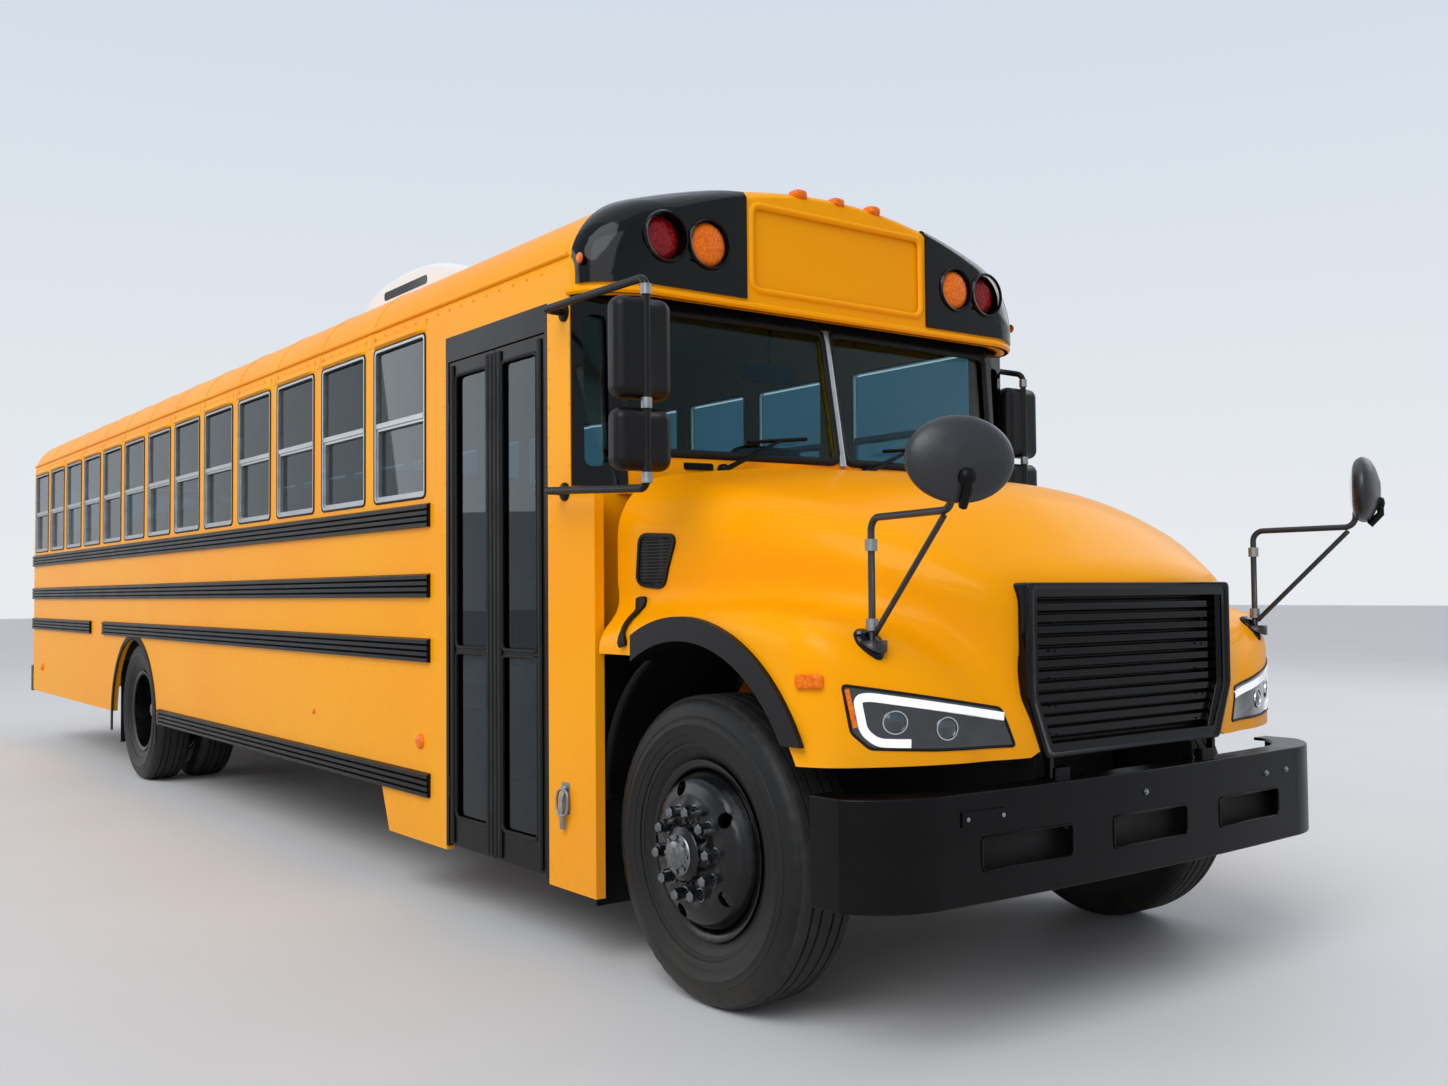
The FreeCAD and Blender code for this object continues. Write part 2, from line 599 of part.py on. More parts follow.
stairs = slab("stairs", "YZ_Plane", [treads], WELL_BACK, "door_back - door_front - 2 * jamb")
cheeks = []
for name, start, end in (("cheek_rear", aft("door_back"), WELL_BACK),
                         ("cheek_front", WELL_FRONT, aft("door_front"))):
    cheeks.append(box(name, (start, f"-{INSIDE}", "door_sill"), (end, "step_plate - well_inner", RAIL_TOP)))
node(join("entrance_weld", [jamb_rear, jamb_front, head, stairs] + cheeks), "entrance_steps")

# Door leaves: each a bordered frame with two panes, hinged at the jambs and opening outwards.
LEAF_LOW = "(door_sill + leaf_gap + 4)"
LEAF_HIGH = "(door_head - header - leaf_gap)"
LEAF_MEET = aft("(door_front + door_back) / 2")
LEAF_OUT = f"({SIDE} - leaf_inset)"
BAR = "1150"


def door_leaf(label, back, front, hinge):
    """One leaf with its two panes and its hinge barrels."""
    holes = [rectangle((f"{back} + leaf_border", f"{LEAF_LOW} + 2 * leaf_border"),
                       (f"{front} - leaf_border", f"{BAR} - leaf_bar / 2")),
             rectangle((f"{back} + leaf_border", f"{BAR} + leaf_bar / 2"),
                       (f"{front} - leaf_border", f"{LEAF_HIGH} - leaf_border"))]
    leaf = slab(f"{label}_frame", "XZ_Plane", [rectangle((back, LEAF_LOW), (front, LEAF_HIGH))] + holes,
                f"{LEAF_OUT} - leaf_thickness", "leaf_thickness")
    barrels = [rod(f"{label}_barrel_{level}", (hinge, f"-{LEAF_OUT}", f"{level}"), "z",
                   "leaf_gap - pin_gap", "90")
               for level in (500, 1300, 2150)]
    node(join(f"{label}_weld", [leaf] + barrels), label)
    panes = [slab(f"{label}_pane_{index}", "XZ_Plane", [hole], f"{LEAF_OUT} - leaf_thickness / 2", "pane")
             for index, hole in enumerate(holes)]
    node(group(f"{label}_panes", panes), label.replace("leaf", "glass"))


door_leaf("door_leaf_rear", f"{WELL_BACK} + leaf_gap", f"{LEAF_MEET} - leaf_gap / 2",
          f"{WELL_BACK} + leaf_gap")
door_leaf("door_leaf_front", f"{LEAF_MEET} + leaf_gap / 2", f"{WELL_FRONT} - leaf_gap",
          f"{WELL_FRONT} - leaf_gap")

# Side windows: split sashes in aluminium frames, an outer upper pane and a lower one set in.
frames = []
panes = []
for side, sign in (("right", "-"), ("left", "")):
    for index in range(13):
        front = aft(f"first_window + {index} * window_pitch")
        back = aft(f"first_window + {index} * window_pitch + window_width")
        spots = [(front, back)]
        if side == "left" and index == 0:
            spots.append((aft("driver_window_front"), aft("driver_window_back")))
        for number, (fore_edge, back_edge) in enumerate(spots):
            name = f"{side}_{index}_{number}"
            out = f"({SIDE} + sash_proud)"
            middle = "(window_sill + window_head) / 2"
            left = f"{back_edge} + sash_bar"
            right = f"{fore_edge} - sash_bar"
            openings = [rectangle((left, "window_sill + sash_bar"), (right, f"{middle} - sash_bar / 2")),
                        rectangle((left, f"{middle} + sash_bar / 2"), (right, "window_head - sash_bar"))]
            start = f"{out} - sash_depth" if sign else f"-{out}"
            frames.append(slab(f"sash_{name}", "XZ_Plane",
                               [rectangle((back_edge, "window_sill"), (fore_edge, "window_head"))] + openings,
                               start, "sash_depth"))
            for step, opening in enumerate(openings):
                outer = f"({SIDE} - pane_step * {2 - step})"
                low = (left, f"-({outer})" if sign else f"{outer} - pane", opening[0][1])
                high = (right, f"pane - ({outer})" if sign else outer, opening[2][1])
                panes.append(box(f"pane_{name}_{step}", low, high))
node(group("sashes", frames), "window_frames")


# Front of the body: a raked frame, curved in plan, with two windshield panes and a corner
# window each side, standing on the cowl and the firewall.
def front_form(inset, low, high, back):
    """The space inside the body's front, shrunk by an inset, between two heights."""
    wires = []
    for height in (low, high):
        share = (height - value("shield_low")) / value("shield_top - shield_low")
        nose = value(aft("shield_nose")) - value("shield_rake") * share - inset
        corner = value(aft("shield_nose + shield_sweep")) - value("shield_rake") * share * 0.35 - inset
        half = value("shield_half") - inset * 0.6
        side = value(SIDE) - inset
        foot = value(aft("pillar_back")) - inset * 0.5

        def at(x, y):
            return FreeCAD.Vector(x, y, height)

        wires.append(Part.Wire([
            Part.LineSegment(at(back, -side), at(foot, -side)).toShape(),
            Part.LineSegment(at(foot, -side), at(corner, -half)).toShape(),
            Part.Arc(at(corner, -half), at(nose, 0), at(corner, half)).toShape(),
            Part.LineSegment(at(corner, half), at(foot, side)).toShape(),
            Part.LineSegment(at(foot, side), at(back, side)).toShape(),
            Part.LineSegment(at(back, side), at(back, -side)).toShape(),
        ]))
    return Part.makeLoft(wires, True, True)


COWL_LOW = value("belt_height")
COWL_HIGH = value("cap_bottom")
PILLAR = value(aft("pillar_back"))
frame_solid = front_form(0, COWL_LOW, COWL_HIGH, PILLAR - 40)
frame_solid = frame_solid.cut(front_form(WALL, COWL_LOW - 1, COWL_HIGH + 1, PILLAR - 80))
COWL_SPACE = Part.makeBox(value("pillar_back - hood_back") - 6, 4000, 2000,
                          FreeCAD.Vector(PILLAR, -2000, COWL_LOW - 500))
frame_solid = frame_solid.common(COWL_SPACE)
LOW = value("shield_low")
TOP = value("shield_top")
HALF_BAR = value("shield_bar") / 2
EDGE = value("shield_edge")
openings = []
for side in (-1, 1):
    inner, outer = side * HALF_BAR, side * EDGE
    windshield = [FreeCAD.Vector(PILLAR + 20, y, z) for y, z in (
        (inner, LOW), (outer, LOW), (outer, TOP), (inner, TOP))]
    openings.append(prism(windshield, FreeCAD.Vector(600, 0, 0)))
    inner, outer = side * (EDGE + 60), side * value(f"{SIDE} - 45")
    corner = [FreeCAD.Vector(PILLAR - 200, y, z) for y, z in (
        (inner, LOW - 60), (outer, LOW - 60), (outer, TOP - 40), (inner, TOP - 40))]
    openings.append(prism(corner, FreeCAD.Vector(800, 0, 0)))
glass_sheet = front_form(12, COWL_LOW, COWL_HIGH, PILLAR - 60)
glass_sheet = glass_sheet.cut(front_form(12 + value("shield_pane"), COWL_LOW - 1, COWL_HIGH + 1, PILLAR - 90))
glass_sheet = glass_sheet.common(Part.makeBox(
    1000, 4000, 2000, FreeCAD.Vector(PILLAR + 1, -2000, COWL_LOW - 500)))
shield_panes = []
for opening in openings:
    frame_solid = frame_solid.cut(opening)
    shield_panes.append(glass_sheet.common(opening))
firewall = Part.makeBox(
    value("firewall_thick"), value(f"2 * {INSIDE}"), value("belt_height - firewall_low"),
    FreeCAD.Vector(value(aft("firewall_back")), -value(INSIDE), value("firewall_low")))
cowl_top = front_form(0, COWL_LOW, COWL_LOW + 20, PILLAR - 40).common(COWL_SPACE)
cowl_top = cowl_top.cut(Part.makeBox(value("pillar_back - firewall_back"), 4000, 200,
                                     FreeCAD.Vector(PILLAR, -2000, COWL_LOW - 100)))
frame_solid = frame_solid.fuse([cowl_top, firewall]).removeSplitter()
node(computed("front_frame", frame_solid), "windshield_frame")
node(computed("shield_panes", Part.makeCompound(shield_panes)), "windshield_glass")


def cap_form(grow):
    """The rounded front cap of the roof, lofted through the body's section as it shrinks."""
    front = value(aft("cap_front")) + grow
    stations = ((0, 225, 46), (30, 140, 22), (75, 70, 10), (130, 22, 4), (194, 0, 0))
    wires = []
    for back, narrow, lower in stations:
        wires.append(section(front - back, value(SIDE) - narrow + grow,
                             value("crown_height") - lower + grow,
                             value("cap_bottom"), value("roof_corner") - lower + grow))
    return Part.makeLoft(wires, True, False)


# Front cap: the yellow shell over the windshield with a recessed blank sign panel, and the
# black lamp housings that wrap round its corners.
outer_cap = cap_form(0)
shell = outer_cap.cut(cap_form(-value("cap_shell")))
region = []
for side in (-1, 1):
    width = value("housing_outer - housing_inner")
    start = value("housing_inner") if side > 0 else -value("housing_outer")
    region.append(Part.makeBox(
        600, width, value("housing_high - housing_low"),
        FreeCAD.Vector(PILLAR, start, value("housing_low"))))
sign = Part.makeBox(
    400, value("2 * sign_half"), value("sign_high - sign_low"),
    FreeCAD.Vector(value(aft("cap_front + sign_depth")), -value("sign_half"), value("sign_low")))
cap = shell.cut(region[0]).cut(region[1]).cut(sign)
node(computed("cap_sheet", cap), "front_cap")
lamps = []
housings = []
grown = cap_form(value("housing_proud")).cut(cap_form(-value("cap_shell")))
for block in region:
    housings.append(grown.common(block))
LAMP_FACE = value(aft("cap_front")) - value("lamp_depth")
for side in (-1, 1):
    for across in ("amber_side", "red_side"):
        seat = FreeCAD.Vector(LAMP_FACE - 10 - (60 if across == "red_side" else 0),
                              side * value(across), value("lamp_height"))
        bore = Part.makeCylinder(value("lamp_radius") + 1, 400, seat, FreeCAD.Vector(1, 0, 0))
        housings = [solid.cut(bore) for solid in housings]
        lamps.append(Part.makeCylinder(value("lamp_radius"), value("lamp_depth"), seat,
                                       FreeCAD.Vector(1, 0, 0)))
node(computed("housings", Part.makeCompound(housings)), "lamp_housings")
node(computed("flashers", Part.makeCompound(lamps)), "warning_lamps")

# Bumpers: the front one is a bowed channel with three slots, the rear one a straight channel.


def bumper_plan(inset, low, high):
    """The front bumper's plan, shrunk by an inset, between two heights."""
    front = value(fore("bumper_front")) - inset
    side = value(SIDE) - inset
    back = value(fore("bumper_back"))
    shoulder = front - value("bumper_bow") * 0.42
    turn = front - value("bumper_bow")

    def at(x, y):
        return FreeCAD.Vector(x, y, low)

    face = Part.Face(Part.Wire([
        Part.LineSegment(at(back, -side), at(turn, -side)).toShape(),
        Part.Arc(at(turn, -side), at(shoulder + 28, -side + 170), at(shoulder + 50, -side + 300)).toShape(),
        Part.Arc(at(shoulder + 50, -side + 300), at(front, 0), at(shoulder + 50, side - 300)).toShape(),
        Part.Arc(at(shoulder + 50, side - 300), at(shoulder + 28, side - 170), at(turn, side)).toShape(),
        Part.LineSegment(at(turn, side), at(back, side)).toShape(),
        Part.LineSegment(at(back, side), at(back, -side)).toShape(),
    ]))
    return face.extrude(FreeCAD.Vector(0, 0, high - low))


LOWER = value("bumper_low")
UPPER = value("bumper_high")
PLATE = value("bumper_plate")
bumper = bumper_plan(0, LOWER, UPPER).cut(bumper_plan(PLATE, LOWER + PLATE, UPPER - PLATE))
bumper = bumper.cut(bumper_plan(90, LOWER - 1, UPPER + 1))
EAR = value("ear_radius")
SLOT_LOW = value("bumper_slot_low")
SLOT_TALL = value("bumper_slot_high - bumper_slot_low")
for start, width in ((-800, 400), (-200, 400), (400, 400)):
    slot = Part.makeBox(400, width, SLOT_TALL,
                        FreeCAD.Vector(value(fore("bumper_back + 100")), start, SLOT_LOW))
    bumper = bumper.cut(slot)
for side in (-1, 1):
    middle = side * (value(RAIL_OUT) - 36)
    bracket = Part.makeBox(
        value("bumper_front - rail_front"), 72, 200,
        FreeCAD.Vector(value(fore("rail_front")), middle - 36, 640))
    bracket = bracket.common(bumper_plan(PLATE / 2, LOWER, UPPER))
    trim = Part.makeBox(400, 400, 200, FreeCAD.Vector(value(fore("rail_front")), middle - 200, UPPER))
    ear = Part.makeBox(2 * EAR, 72, value("pivot_height") + EAR - UPPER + 60, FreeCAD.Vector(
        value(fore("pivot_ahead")) - EAR, middle - 36, UPPER - 60))
    bumper = bumper.fuse([bracket.cut(trim), ear])
node(computed("front_channel", bumper.removeSplitter()), "front_bumper")
rear_profile = [(aft("rear_reach"), "rear_bumper_low"), (aft("rear_reach"), "rear_bumper_high"),
                (aft("body_rear"), "rear_bumper_high"), (aft("body_rear"), "rear_bumper_low")]
rear_bumper = slab("rear_channel", "XZ_Plane", [rear_profile], f"-{SIDE}", "body_width")
node(rear_bumper, "rear_bumper")

# Rub rails: ribbed black channels along both sides.
rails = []


def rub_rail(name, middle, back, front):
    """One rail with three ribs, on the right side."""
    low = f"({middle} - rub_height / 2)"
    ribs = [(f"-{SIDE}", low)]
    for index in range(4):
        level = f"({low} + rub_height * {index} / 4)"
        ribs += [(f"-{SIDE} - rub_proud", f"{level} + 3"),
                 (f"-{SIDE} - rub_proud", f"{level} + rub_height / 4 - 8"),
                 (f"-{SIDE} - rub_proud + 10", f"{level} + rub_height / 4 - 4")]
    ribs += [(f"-{SIDE}", f"{low} + rub_height")]
    return slab(name, "YZ_Plane", [ribs], back, f"({front}) - ({back})")


for name, level, back, front in (
        ("rub_high", "rub_high", WALL_BACK, aft("rub_front")),
        ("rub_middle", "rub_middle", WALL_BACK, aft("rub_front")),
        ("rub_low_front", "rub_low", aft("rub_gap_front"), aft("rub_front")),
        ("rub_low_back", "rub_low", WALL_BACK, aft("rub_gap_back")),
        ("rub_skirt", "rub_skirt", aft("rub_skirt_back"), aft("rub_front"))):
    strip = rub_rail(name, level, back, front)
    rails += [strip, mirror(f"{name}_twin", strip)]
node(group("rails_all", rails), "rub_rails")

# Seats: two rows of benches and the driver's, each a cushion and a back on two legs.
cushions = []
backs = []
legs = []
for side in ("right", "left"):
    inner = "seat_outer - seat_width"
    low_y, high_y = ("-seat_outer", f"-({inner})") if side == "right" else (inner, "seat_outer")
    for index in range(int(value("seat_rows"))):
        front = aft(f"seat_first + {index} * window_pitch")
        name = f"{side}_{index}"
        cushions.append(box(f"cushion_{name}", (f"{front} - seat_length", low_y, "seat_base"),
                            (front, high_y, "seat_base + seat_pad")))
        backs.append(box(f"back_{name}", (f"{front} - seat_length - seat_back", low_y, "seat_base"),
                         (f"{front} - seat_length", high_y, "seat_top")))
        near_axle = abs(value(f"{front} - seat_length - ({REAR_AXLE})")) < value("house_half + 2 * leg")
        for number, across in enumerate((f"{low_y} + 120", f"{high_y} - 120")):
            over_wheel = near_axle and abs(value(across)) > value(f"{INSIDE} - house_width - leg")
            legs.append(box(f"leg_{name}_{number}",
                            (f"{front} - seat_length", f"{across} - leg / 2",
                             "house_top" if over_wheel else "floor_height"),
                            (f"{front} - seat_length + 2 * leg", f"{across} + leg / 2", "seat_base")))
cushions.append(box("driver_pad", (aft("1720"), "330", "1400"), (aft("1260"), "830", "1500")))
backs.append(box("driver_back", (aft("1830"), "330", "1400"), (aft("1720"), "830", "2150")))
legs.append(box("driver_post", (aft("1620"), "460", "floor_height"), (aft("1360"), "700", "1400")))
node(group("cushions_all", cushions), "seat_cushions")
node(group("backs_all", backs), "seat_backs")
node(group("legs_all", legs), "seat_legs")

# Driver's controls: a dashboard across the cowl with the steering column and wheel.
dash = slab("dash", "XZ_Plane", [[(aft("firewall_back"), "1480"), (aft("firewall_back"), "belt_height + 60"),
                                  (aft("firewall_back + 90"), "belt_height + 60"),
                                  (aft("firewall_back + 260"), "belt_height - 60"),
                                  (aft("firewall_back + 220"), "1480")]], "-1030", "1500")
column = computed("column", Part.makeCylinder(
    25, 330, point(aft("firewall_back + 200"), "580", "1600"), FreeCAD.Vector(-1, 0, 0.75)))
ring = Part.makeTorus(225, 14, point(aft("firewall_back + 455"), "580", "1791"), FreeCAD.Vector(-1, 0, 0.75))
spoke = Part.makeBox(30, 450, 16, FreeCAD.Vector(-15, -225, -8))
spoke.Placement = FreeCAD.Placement(point(aft("firewall_back + 455"), "580", "1791"),
                                    FreeCAD.Rotation(FreeCAD.Vector(0, 0, 1), FreeCAD.Vector(-1, 0, 0.75)))
wheel = computed("steering_wheel", ring.fuse(spoke))
node(join("controls", [dash, column, wheel]), "dashboard")

# Engine and radiator: a plain block between the rails and the core behind the grille.
engine = box("engine", (aft("engine_back"), "-engine_half", "engine_low"),
             (fore("engine_front"), "engine_half", "engine_top"))
radiator = box("radiator", (fore("radiator_back"), "-radiator_half", f"{RAIL_TOP} + fit"),
               (fore("radiator_front"), "radiator_half", "radiator_top"))
feet = []
for index, along in enumerate(("350", "-300")):
    for side, low, high in (("left", "engine_half - 5", f"{RAIL_OUT} - rail_plate - fit"),
                            ("right", f"rail_plate + fit - {RAIL_OUT}", "5 - engine_half")):
        feet.append(box(f"foot_{side}_{index}", (fore(along), low, f"{RAIL_LOW} + 60"),
                        (fore(f"{along} + 90"), high, f"{RAIL_LOW} + 120")))
node(group("power", [join("engine_weld", [engine] + feet), radiator]), "engine_block")

# Fuel tank beside the right rail, and the silencer with its side outlet on the left.
node(box("tank", (aft("tank_back"), "-tank_outer", "tank_low"),
         (aft("tank_front"), "-tank_inner", "tank_top")), "fuel_tank")
silencer = rod("silencer", (aft("5600"), "640", "700"), "x", "120", "1100")
pipe_front = rod("pipe_front", (aft("4510"), "640", "700"), "x", "50", "3300")
tail = computed("tail_pipe", tube([point(aft("5590"), "640", "700"), point(aft("6130"), "640", "700"),
                                   point(aft("6300"), "1195", "380")], 50, 120))
straps = [box(f"strap_{index}", (aft(along), f"{RAIL_OUT} + fit", "680"),
              (aft(f"{along} - 40"), "640", "720"))
          for index, along in enumerate((5300, 4800, 1900))]
node(join("exhaust_weld", [silencer, pipe_front, tail] + straps), "exhaust")

# Front axle: a dropped beam with an upright boss for each kingpin.
PIN = "(kingpin_spread / 2)"
beam = [(f"-{PIN}", "tyre_radius + 20"), (f"-{PIN}", "tyre_radius - 50"),
        (f"80 - {PIN}", "tyre_radius - 50"), (f"240 - {PIN}", "beam_drop - beam_height / 2"),
        (f"{PIN} - 240", "beam_drop - beam_height / 2"), (f"{PIN} - 80", "tyre_radius - 50"),
        (PIN, "tyre_radius - 50"), (PIN, "tyre_radius + 20"), (f"{PIN} - 80", "tyre_radius + 20"),
        (f"{PIN} - 260", "beam_drop + beam_height / 2"), (f"260 - {PIN}", "beam_drop + beam_height / 2"),
        (f"80 - {PIN}", "tyre_radius + 20")]
beam_bar = slab("beam", "YZ_Plane", [beam], f"{AXLE} - beam_depth / 2", "beam_depth")
bosses = [rod(f"boss_{side}", (AXLE, across, "tyre_radius - boss_height / 2"), "z", "boss_radius + 20",
              "boss_height")
          for side, across in (("right", f"-{PIN}"), ("left", PIN))]
node(join("front_axle_weld", [beam_bar] + bosses), "front_axle")

# Steering knuckles: a yoke round the boss, a backing plate and the spindle.
WHEEL_IN = "(front_track / 2 - 60)"
ears = [box("ear_low", (f"{AXLE} - 50", f"{PIN} - 30", "tyre_radius - boss_height / 2 - pin_gap - 35"),
            (f"{AXLE} + 50", f"{PIN} + 74", "tyre_radius - boss_height / 2 - pin_gap")),
        box("ear_high", (f"{AXLE} - 50", f"{PIN} - 30", "tyre_radius + boss_height / 2 + pin_gap"),
            (f"{AXLE} + 50", f"{PIN} + 74", "tyre_radius + boss_height / 2 + pin_gap + 35")),
        box("web", (f"{AXLE} - 50", f"{PIN} + 69", "tyre_radius - boss_height / 2 - 40"),
            (f"{AXLE} + 50", f"{PIN} + 77", "tyre_radius + boss_height / 2 + 40")),
        rod("backing", (AXLE, f"{PIN} + 74", "tyre_radius"), "y", "180", "10"),
        rod("spindle", (AXLE, f"{PIN} + 80", "tyre_radius"), "y", "spindle_radius",
            f"{WHEEL_IN} - {PIN} - 80 - fit")]
knuckle = join("knuckle_weld", ears)
node(knuckle, "knuckle_left")
node(mirror("knuckle_twin", knuckle), "knuckle_right")

# Rear axle: a tube with the differential's bulb, and the propeller shaft to it.
tube_bar = rod("axle_tube", (REAR_AXLE, "-axle_half", "tyre_radius"), "y", "axle_tube", "2 * axle_half")
bulb = doc.addObject("Part::Sphere", "differential")
bulb.setExpression("Radius", cell("diff_radius"))
place(bulb, REAR_AXLE, "0", "tyre_radius")
shaft = rod("propeller_shaft", (f"{REAR_AXLE} + 150", "0", "tyre_radius + 20"), "x", "45", "wheelbase - 700")
node(join("rear_axle_weld", [tube_bar, bulb, shaft]), "rear_axle")

# Leaf springs: packs of leaves that shorten downwards, on the axles and under the rails.
packs = []


def leaf_pack(name, middle, across, seat, half):
    """Three leaves and two hangers, on one side."""
    pieces = []
    for index in range(3):
        reach = f"{half} * {1 - 0.25 * (2 - index)}"
        pieces.append(box(f"{name}_leaf_{index}",
                          (f"{middle} - {reach}", f"{across} - spring_width / 2",
                           f"{seat} + spring_leaf * {index}"),
                          (f"{middle} + {reach}", f"{across} + spring_width / 2",
                           f"{seat} + spring_leaf * {index + 1}")))
    return pieces


front_seat = "beam_drop + beam_height / 2"
pieces = leaf_pack("front_pack", AXLE, "rail_spread / 2 - spring_width / 2", front_seat, "front_spring")
for index, end in enumerate((f"{AXLE} - front_spring", f"{AXLE} + front_spring - 60")):
    pieces.append(box(f"front_hanger_{index}",
                      (end, "rail_spread / 2 - spring_width", f"{front_seat} + spring_leaf * 2"),
                      (f"{end} + 60", "rail_spread / 2", RAIL_LOW)))
packs.append(join("front_pack", pieces))
rear_seat = "tyre_radius + axle_tube"
pieces = leaf_pack("rear_pack", REAR_AXLE, "rail_spread / 2 + spring_width / 2", rear_seat, "rear_spring")
for index, end in enumerate((f"{REAR_AXLE} - rear_spring", f"{REAR_AXLE} + rear_spring - 60")):
    pieces.append(box(f"rear_hanger_{index}", (end, "rail_spread / 2", f"{rear_seat} + spring_leaf * 2"),
                      (f"{end} + 60", "rail_spread / 2 + spring_width", f"{rear_seat} + 160")))
packs.append(join("rear_pack", pieces))
packs += [mirror(f"{pack.Name}_twin", pack) for pack in list(packs)]
node(group("springs", packs), "leaf_springs")

# Wheels: disc rims with ten studs, and tyres. A wheel is drawn at the origin with its
# outer side towards +Y, and turned round for the right side of the bus.
HALF_RIM = "(rim_width / 2)"


def tyre_body(name):
    """One tyre, from bead to bead round its rim."""
    body = body_of(name)
    spun(body, f"{name}_spin", [
        ("bead_radius", f"17 - {HALF_RIM}"), ("bead_radius + 139", "-tyre_width / 2"),
        ("tyre_radius", "40 - tyre_width / 2"), ("tyre_radius", "tyre_width / 2 - 40"),
        ("bead_radius + 139", "tyre_width / 2"), ("bead_radius", f"{HALF_RIM} - 17")])
    return body


def rim_body(name, hub_in, hub_out, nuts):
    """A rim whose disc bells out to +Y, with its hub, hand holes and a ring of nuts."""
    body = body_of(name)
    spun(body, f"{name}_spin", [
        ("0", hub_out), ("hub_radius - 25", hub_out), ("hub_radius", f"{hub_out} - 14"),
        ("hub_radius", "disc_face"), ("188", "disc_face"), ("238", "disc_face - 20"),
        ("262", "disc_face - 62"), ("bead_radius - 14", "disc_face - 90"),
        ("bead_radius - 14", f"{HALF_RIM} - 10"), ("rim_flange - 8", HALF_RIM),
        ("rim_flange", HALF_RIM), ("rim_flange", f"{HALF_RIM} - 8"),
        ("bead_radius - fit", f"{HALF_RIM} - 16"), ("bead_radius - fit", f"16 - {HALF_RIM}"),
        ("rim_flange", f"8 - {HALF_RIM}"), ("rim_flange", f"-{HALF_RIM}"),
        ("rim_flange - 8", f"-{HALF_RIM}"), ("bead_radius - 14", f"10 - {HALF_RIM}"),
        ("bead_radius - 14", "disc_face - 110"), ("249", "disc_face - 70"),
        ("228", "disc_face - 33"), ("184", "disc_face - disc_plate"),
        ("hub_radius", "disc_face - disc_plate"), ("hub_radius", hub_in), ("0", hub_in)])
    hole = body.newObject("PartDesign::Pocket", f"{name}_hand")
    hole.Profile = round_sketch(body, f"{name}_hand_sketch", "hand_circle", "hand_hole", "disc_face")
    hole.Midplane = True
    hole.Length = 160
    ring_of(body, f"{name}_hands", hole, "hand_count")
    start = "disc_face + nut_height" if nuts == "outside" else "disc_face - disc_plate + 2"
    stud = body.newObject("PartDesign::Pad", f"{name}_stud")
    stud.Profile = round_sketch(body, f"{name}_stud_sketch", "stud_circle / 2", "stud_radius", start)
    stud.setExpression("Length", cell("nut_height + 2"))
    ring_of(body, f"{name}_studs", stud, "stud_count")
    return body


def round_sketch(body, name, reach, radius, depth):
    """A circle at a distance from the wheel's axis, at a depth along it."""
    drawing = body.newObject("Sketcher::SketchObject", name)
    origin = [item for item in body.Origin.OriginFeatures if item.Role == "XZ_Plane"][0]
    drawing.AttachmentSupport = [(origin, "")]
    drawing.MapMode = "FlatFace"
    drawing.setExpression("AttachmentOffset.Base.z", cell(f"-({depth})"))
    circle = Part.Circle(FreeCAD.Vector(value(reach), 0, 0), FreeCAD.Vector(0, 0, 1), value(radius))
    drawing.addGeometry(circle, False)
    for kind, args, text in (("Radius", (0, value(radius)), radius),
                             ("DistanceX", (-1, 1, 0, 3, value(reach)), reach),
                             ("DistanceY", (-1, 1, 0, 3, 0), "0")):
        rule = drawing.addConstraint(Sketcher.Constraint(kind, *args))
        drawing.setExpression(f"Constraints[{rule}]", cell(text))
    return drawing


for side, sign, turn in (("left", "", 0), ("right", "-", 180)):
    for label, body in ((f"tyre_front_{side}", tyre_body(f"tyre_front_{side}_body")),
                        (f"rim_front_{side}", rim_body(f"rim_front_{side}_body", "-60",
                                                       "(disc_face + 48)", "outside"))):
        body.Placement.Rotation = FreeCAD.Rotation(FreeCAD.Vector(0, 0, 1), turn)
        place(body, AXLE, f"{sign}(front_track / 2)", "tyre_radius")
        node(body, label)
    outer_tyre = tyre_body(f"tyre_outer_{side}")
    inner_tyre = tyre_body(f"tyre_inner_{side}")
    outer_rim = rim_body(f"rim_outer_{side}", "(-hub_reach)", "disc_face", "inside")
    inner_rim = rim_body(f"rim_inner_{side}", f"(axle_half + fit - {DUAL_INNER})", "disc_face", "outside")
    for body, across, facing in ((outer_tyre, "dual_outer", turn), (inner_tyre, DUAL_INNER, turn),
                                 (outer_rim, "dual_outer", turn + 180), (inner_rim, DUAL_INNER, turn)):
        body.Placement.Rotation = FreeCAD.Rotation(FreeCAD.Vector(0, 0, 1), facing)
        place(body, REAR_AXLE, f"{sign}{across}", "tyre_radius")
    node(group(f"tyres_{side}", [outer_tyre, inner_tyre]), f"tyres_rear_{side}")
    node(group(f"rims_{side}", [outer_rim, inner_rim]), f"rims_rear_{side}")

# Mud flaps behind all the wheels.
flaps = []
for name, back, low_y, high_y in (("front", aft("side_front + 70"), "850", f"{INSIDE} - fit"),
                                  ("rear", f"{REAR_AXLE} - tyre_radius - 110", "600", "1160")):
    flap = box(f"flap_{name}", (back, low_y, "230"), (f"{back} + 10", high_y, RAIL_TOP))
    flaps += [flap, mirror(f"flap_{name}_twin", flap)]
node(group("flaps", flaps), "mud_flaps")


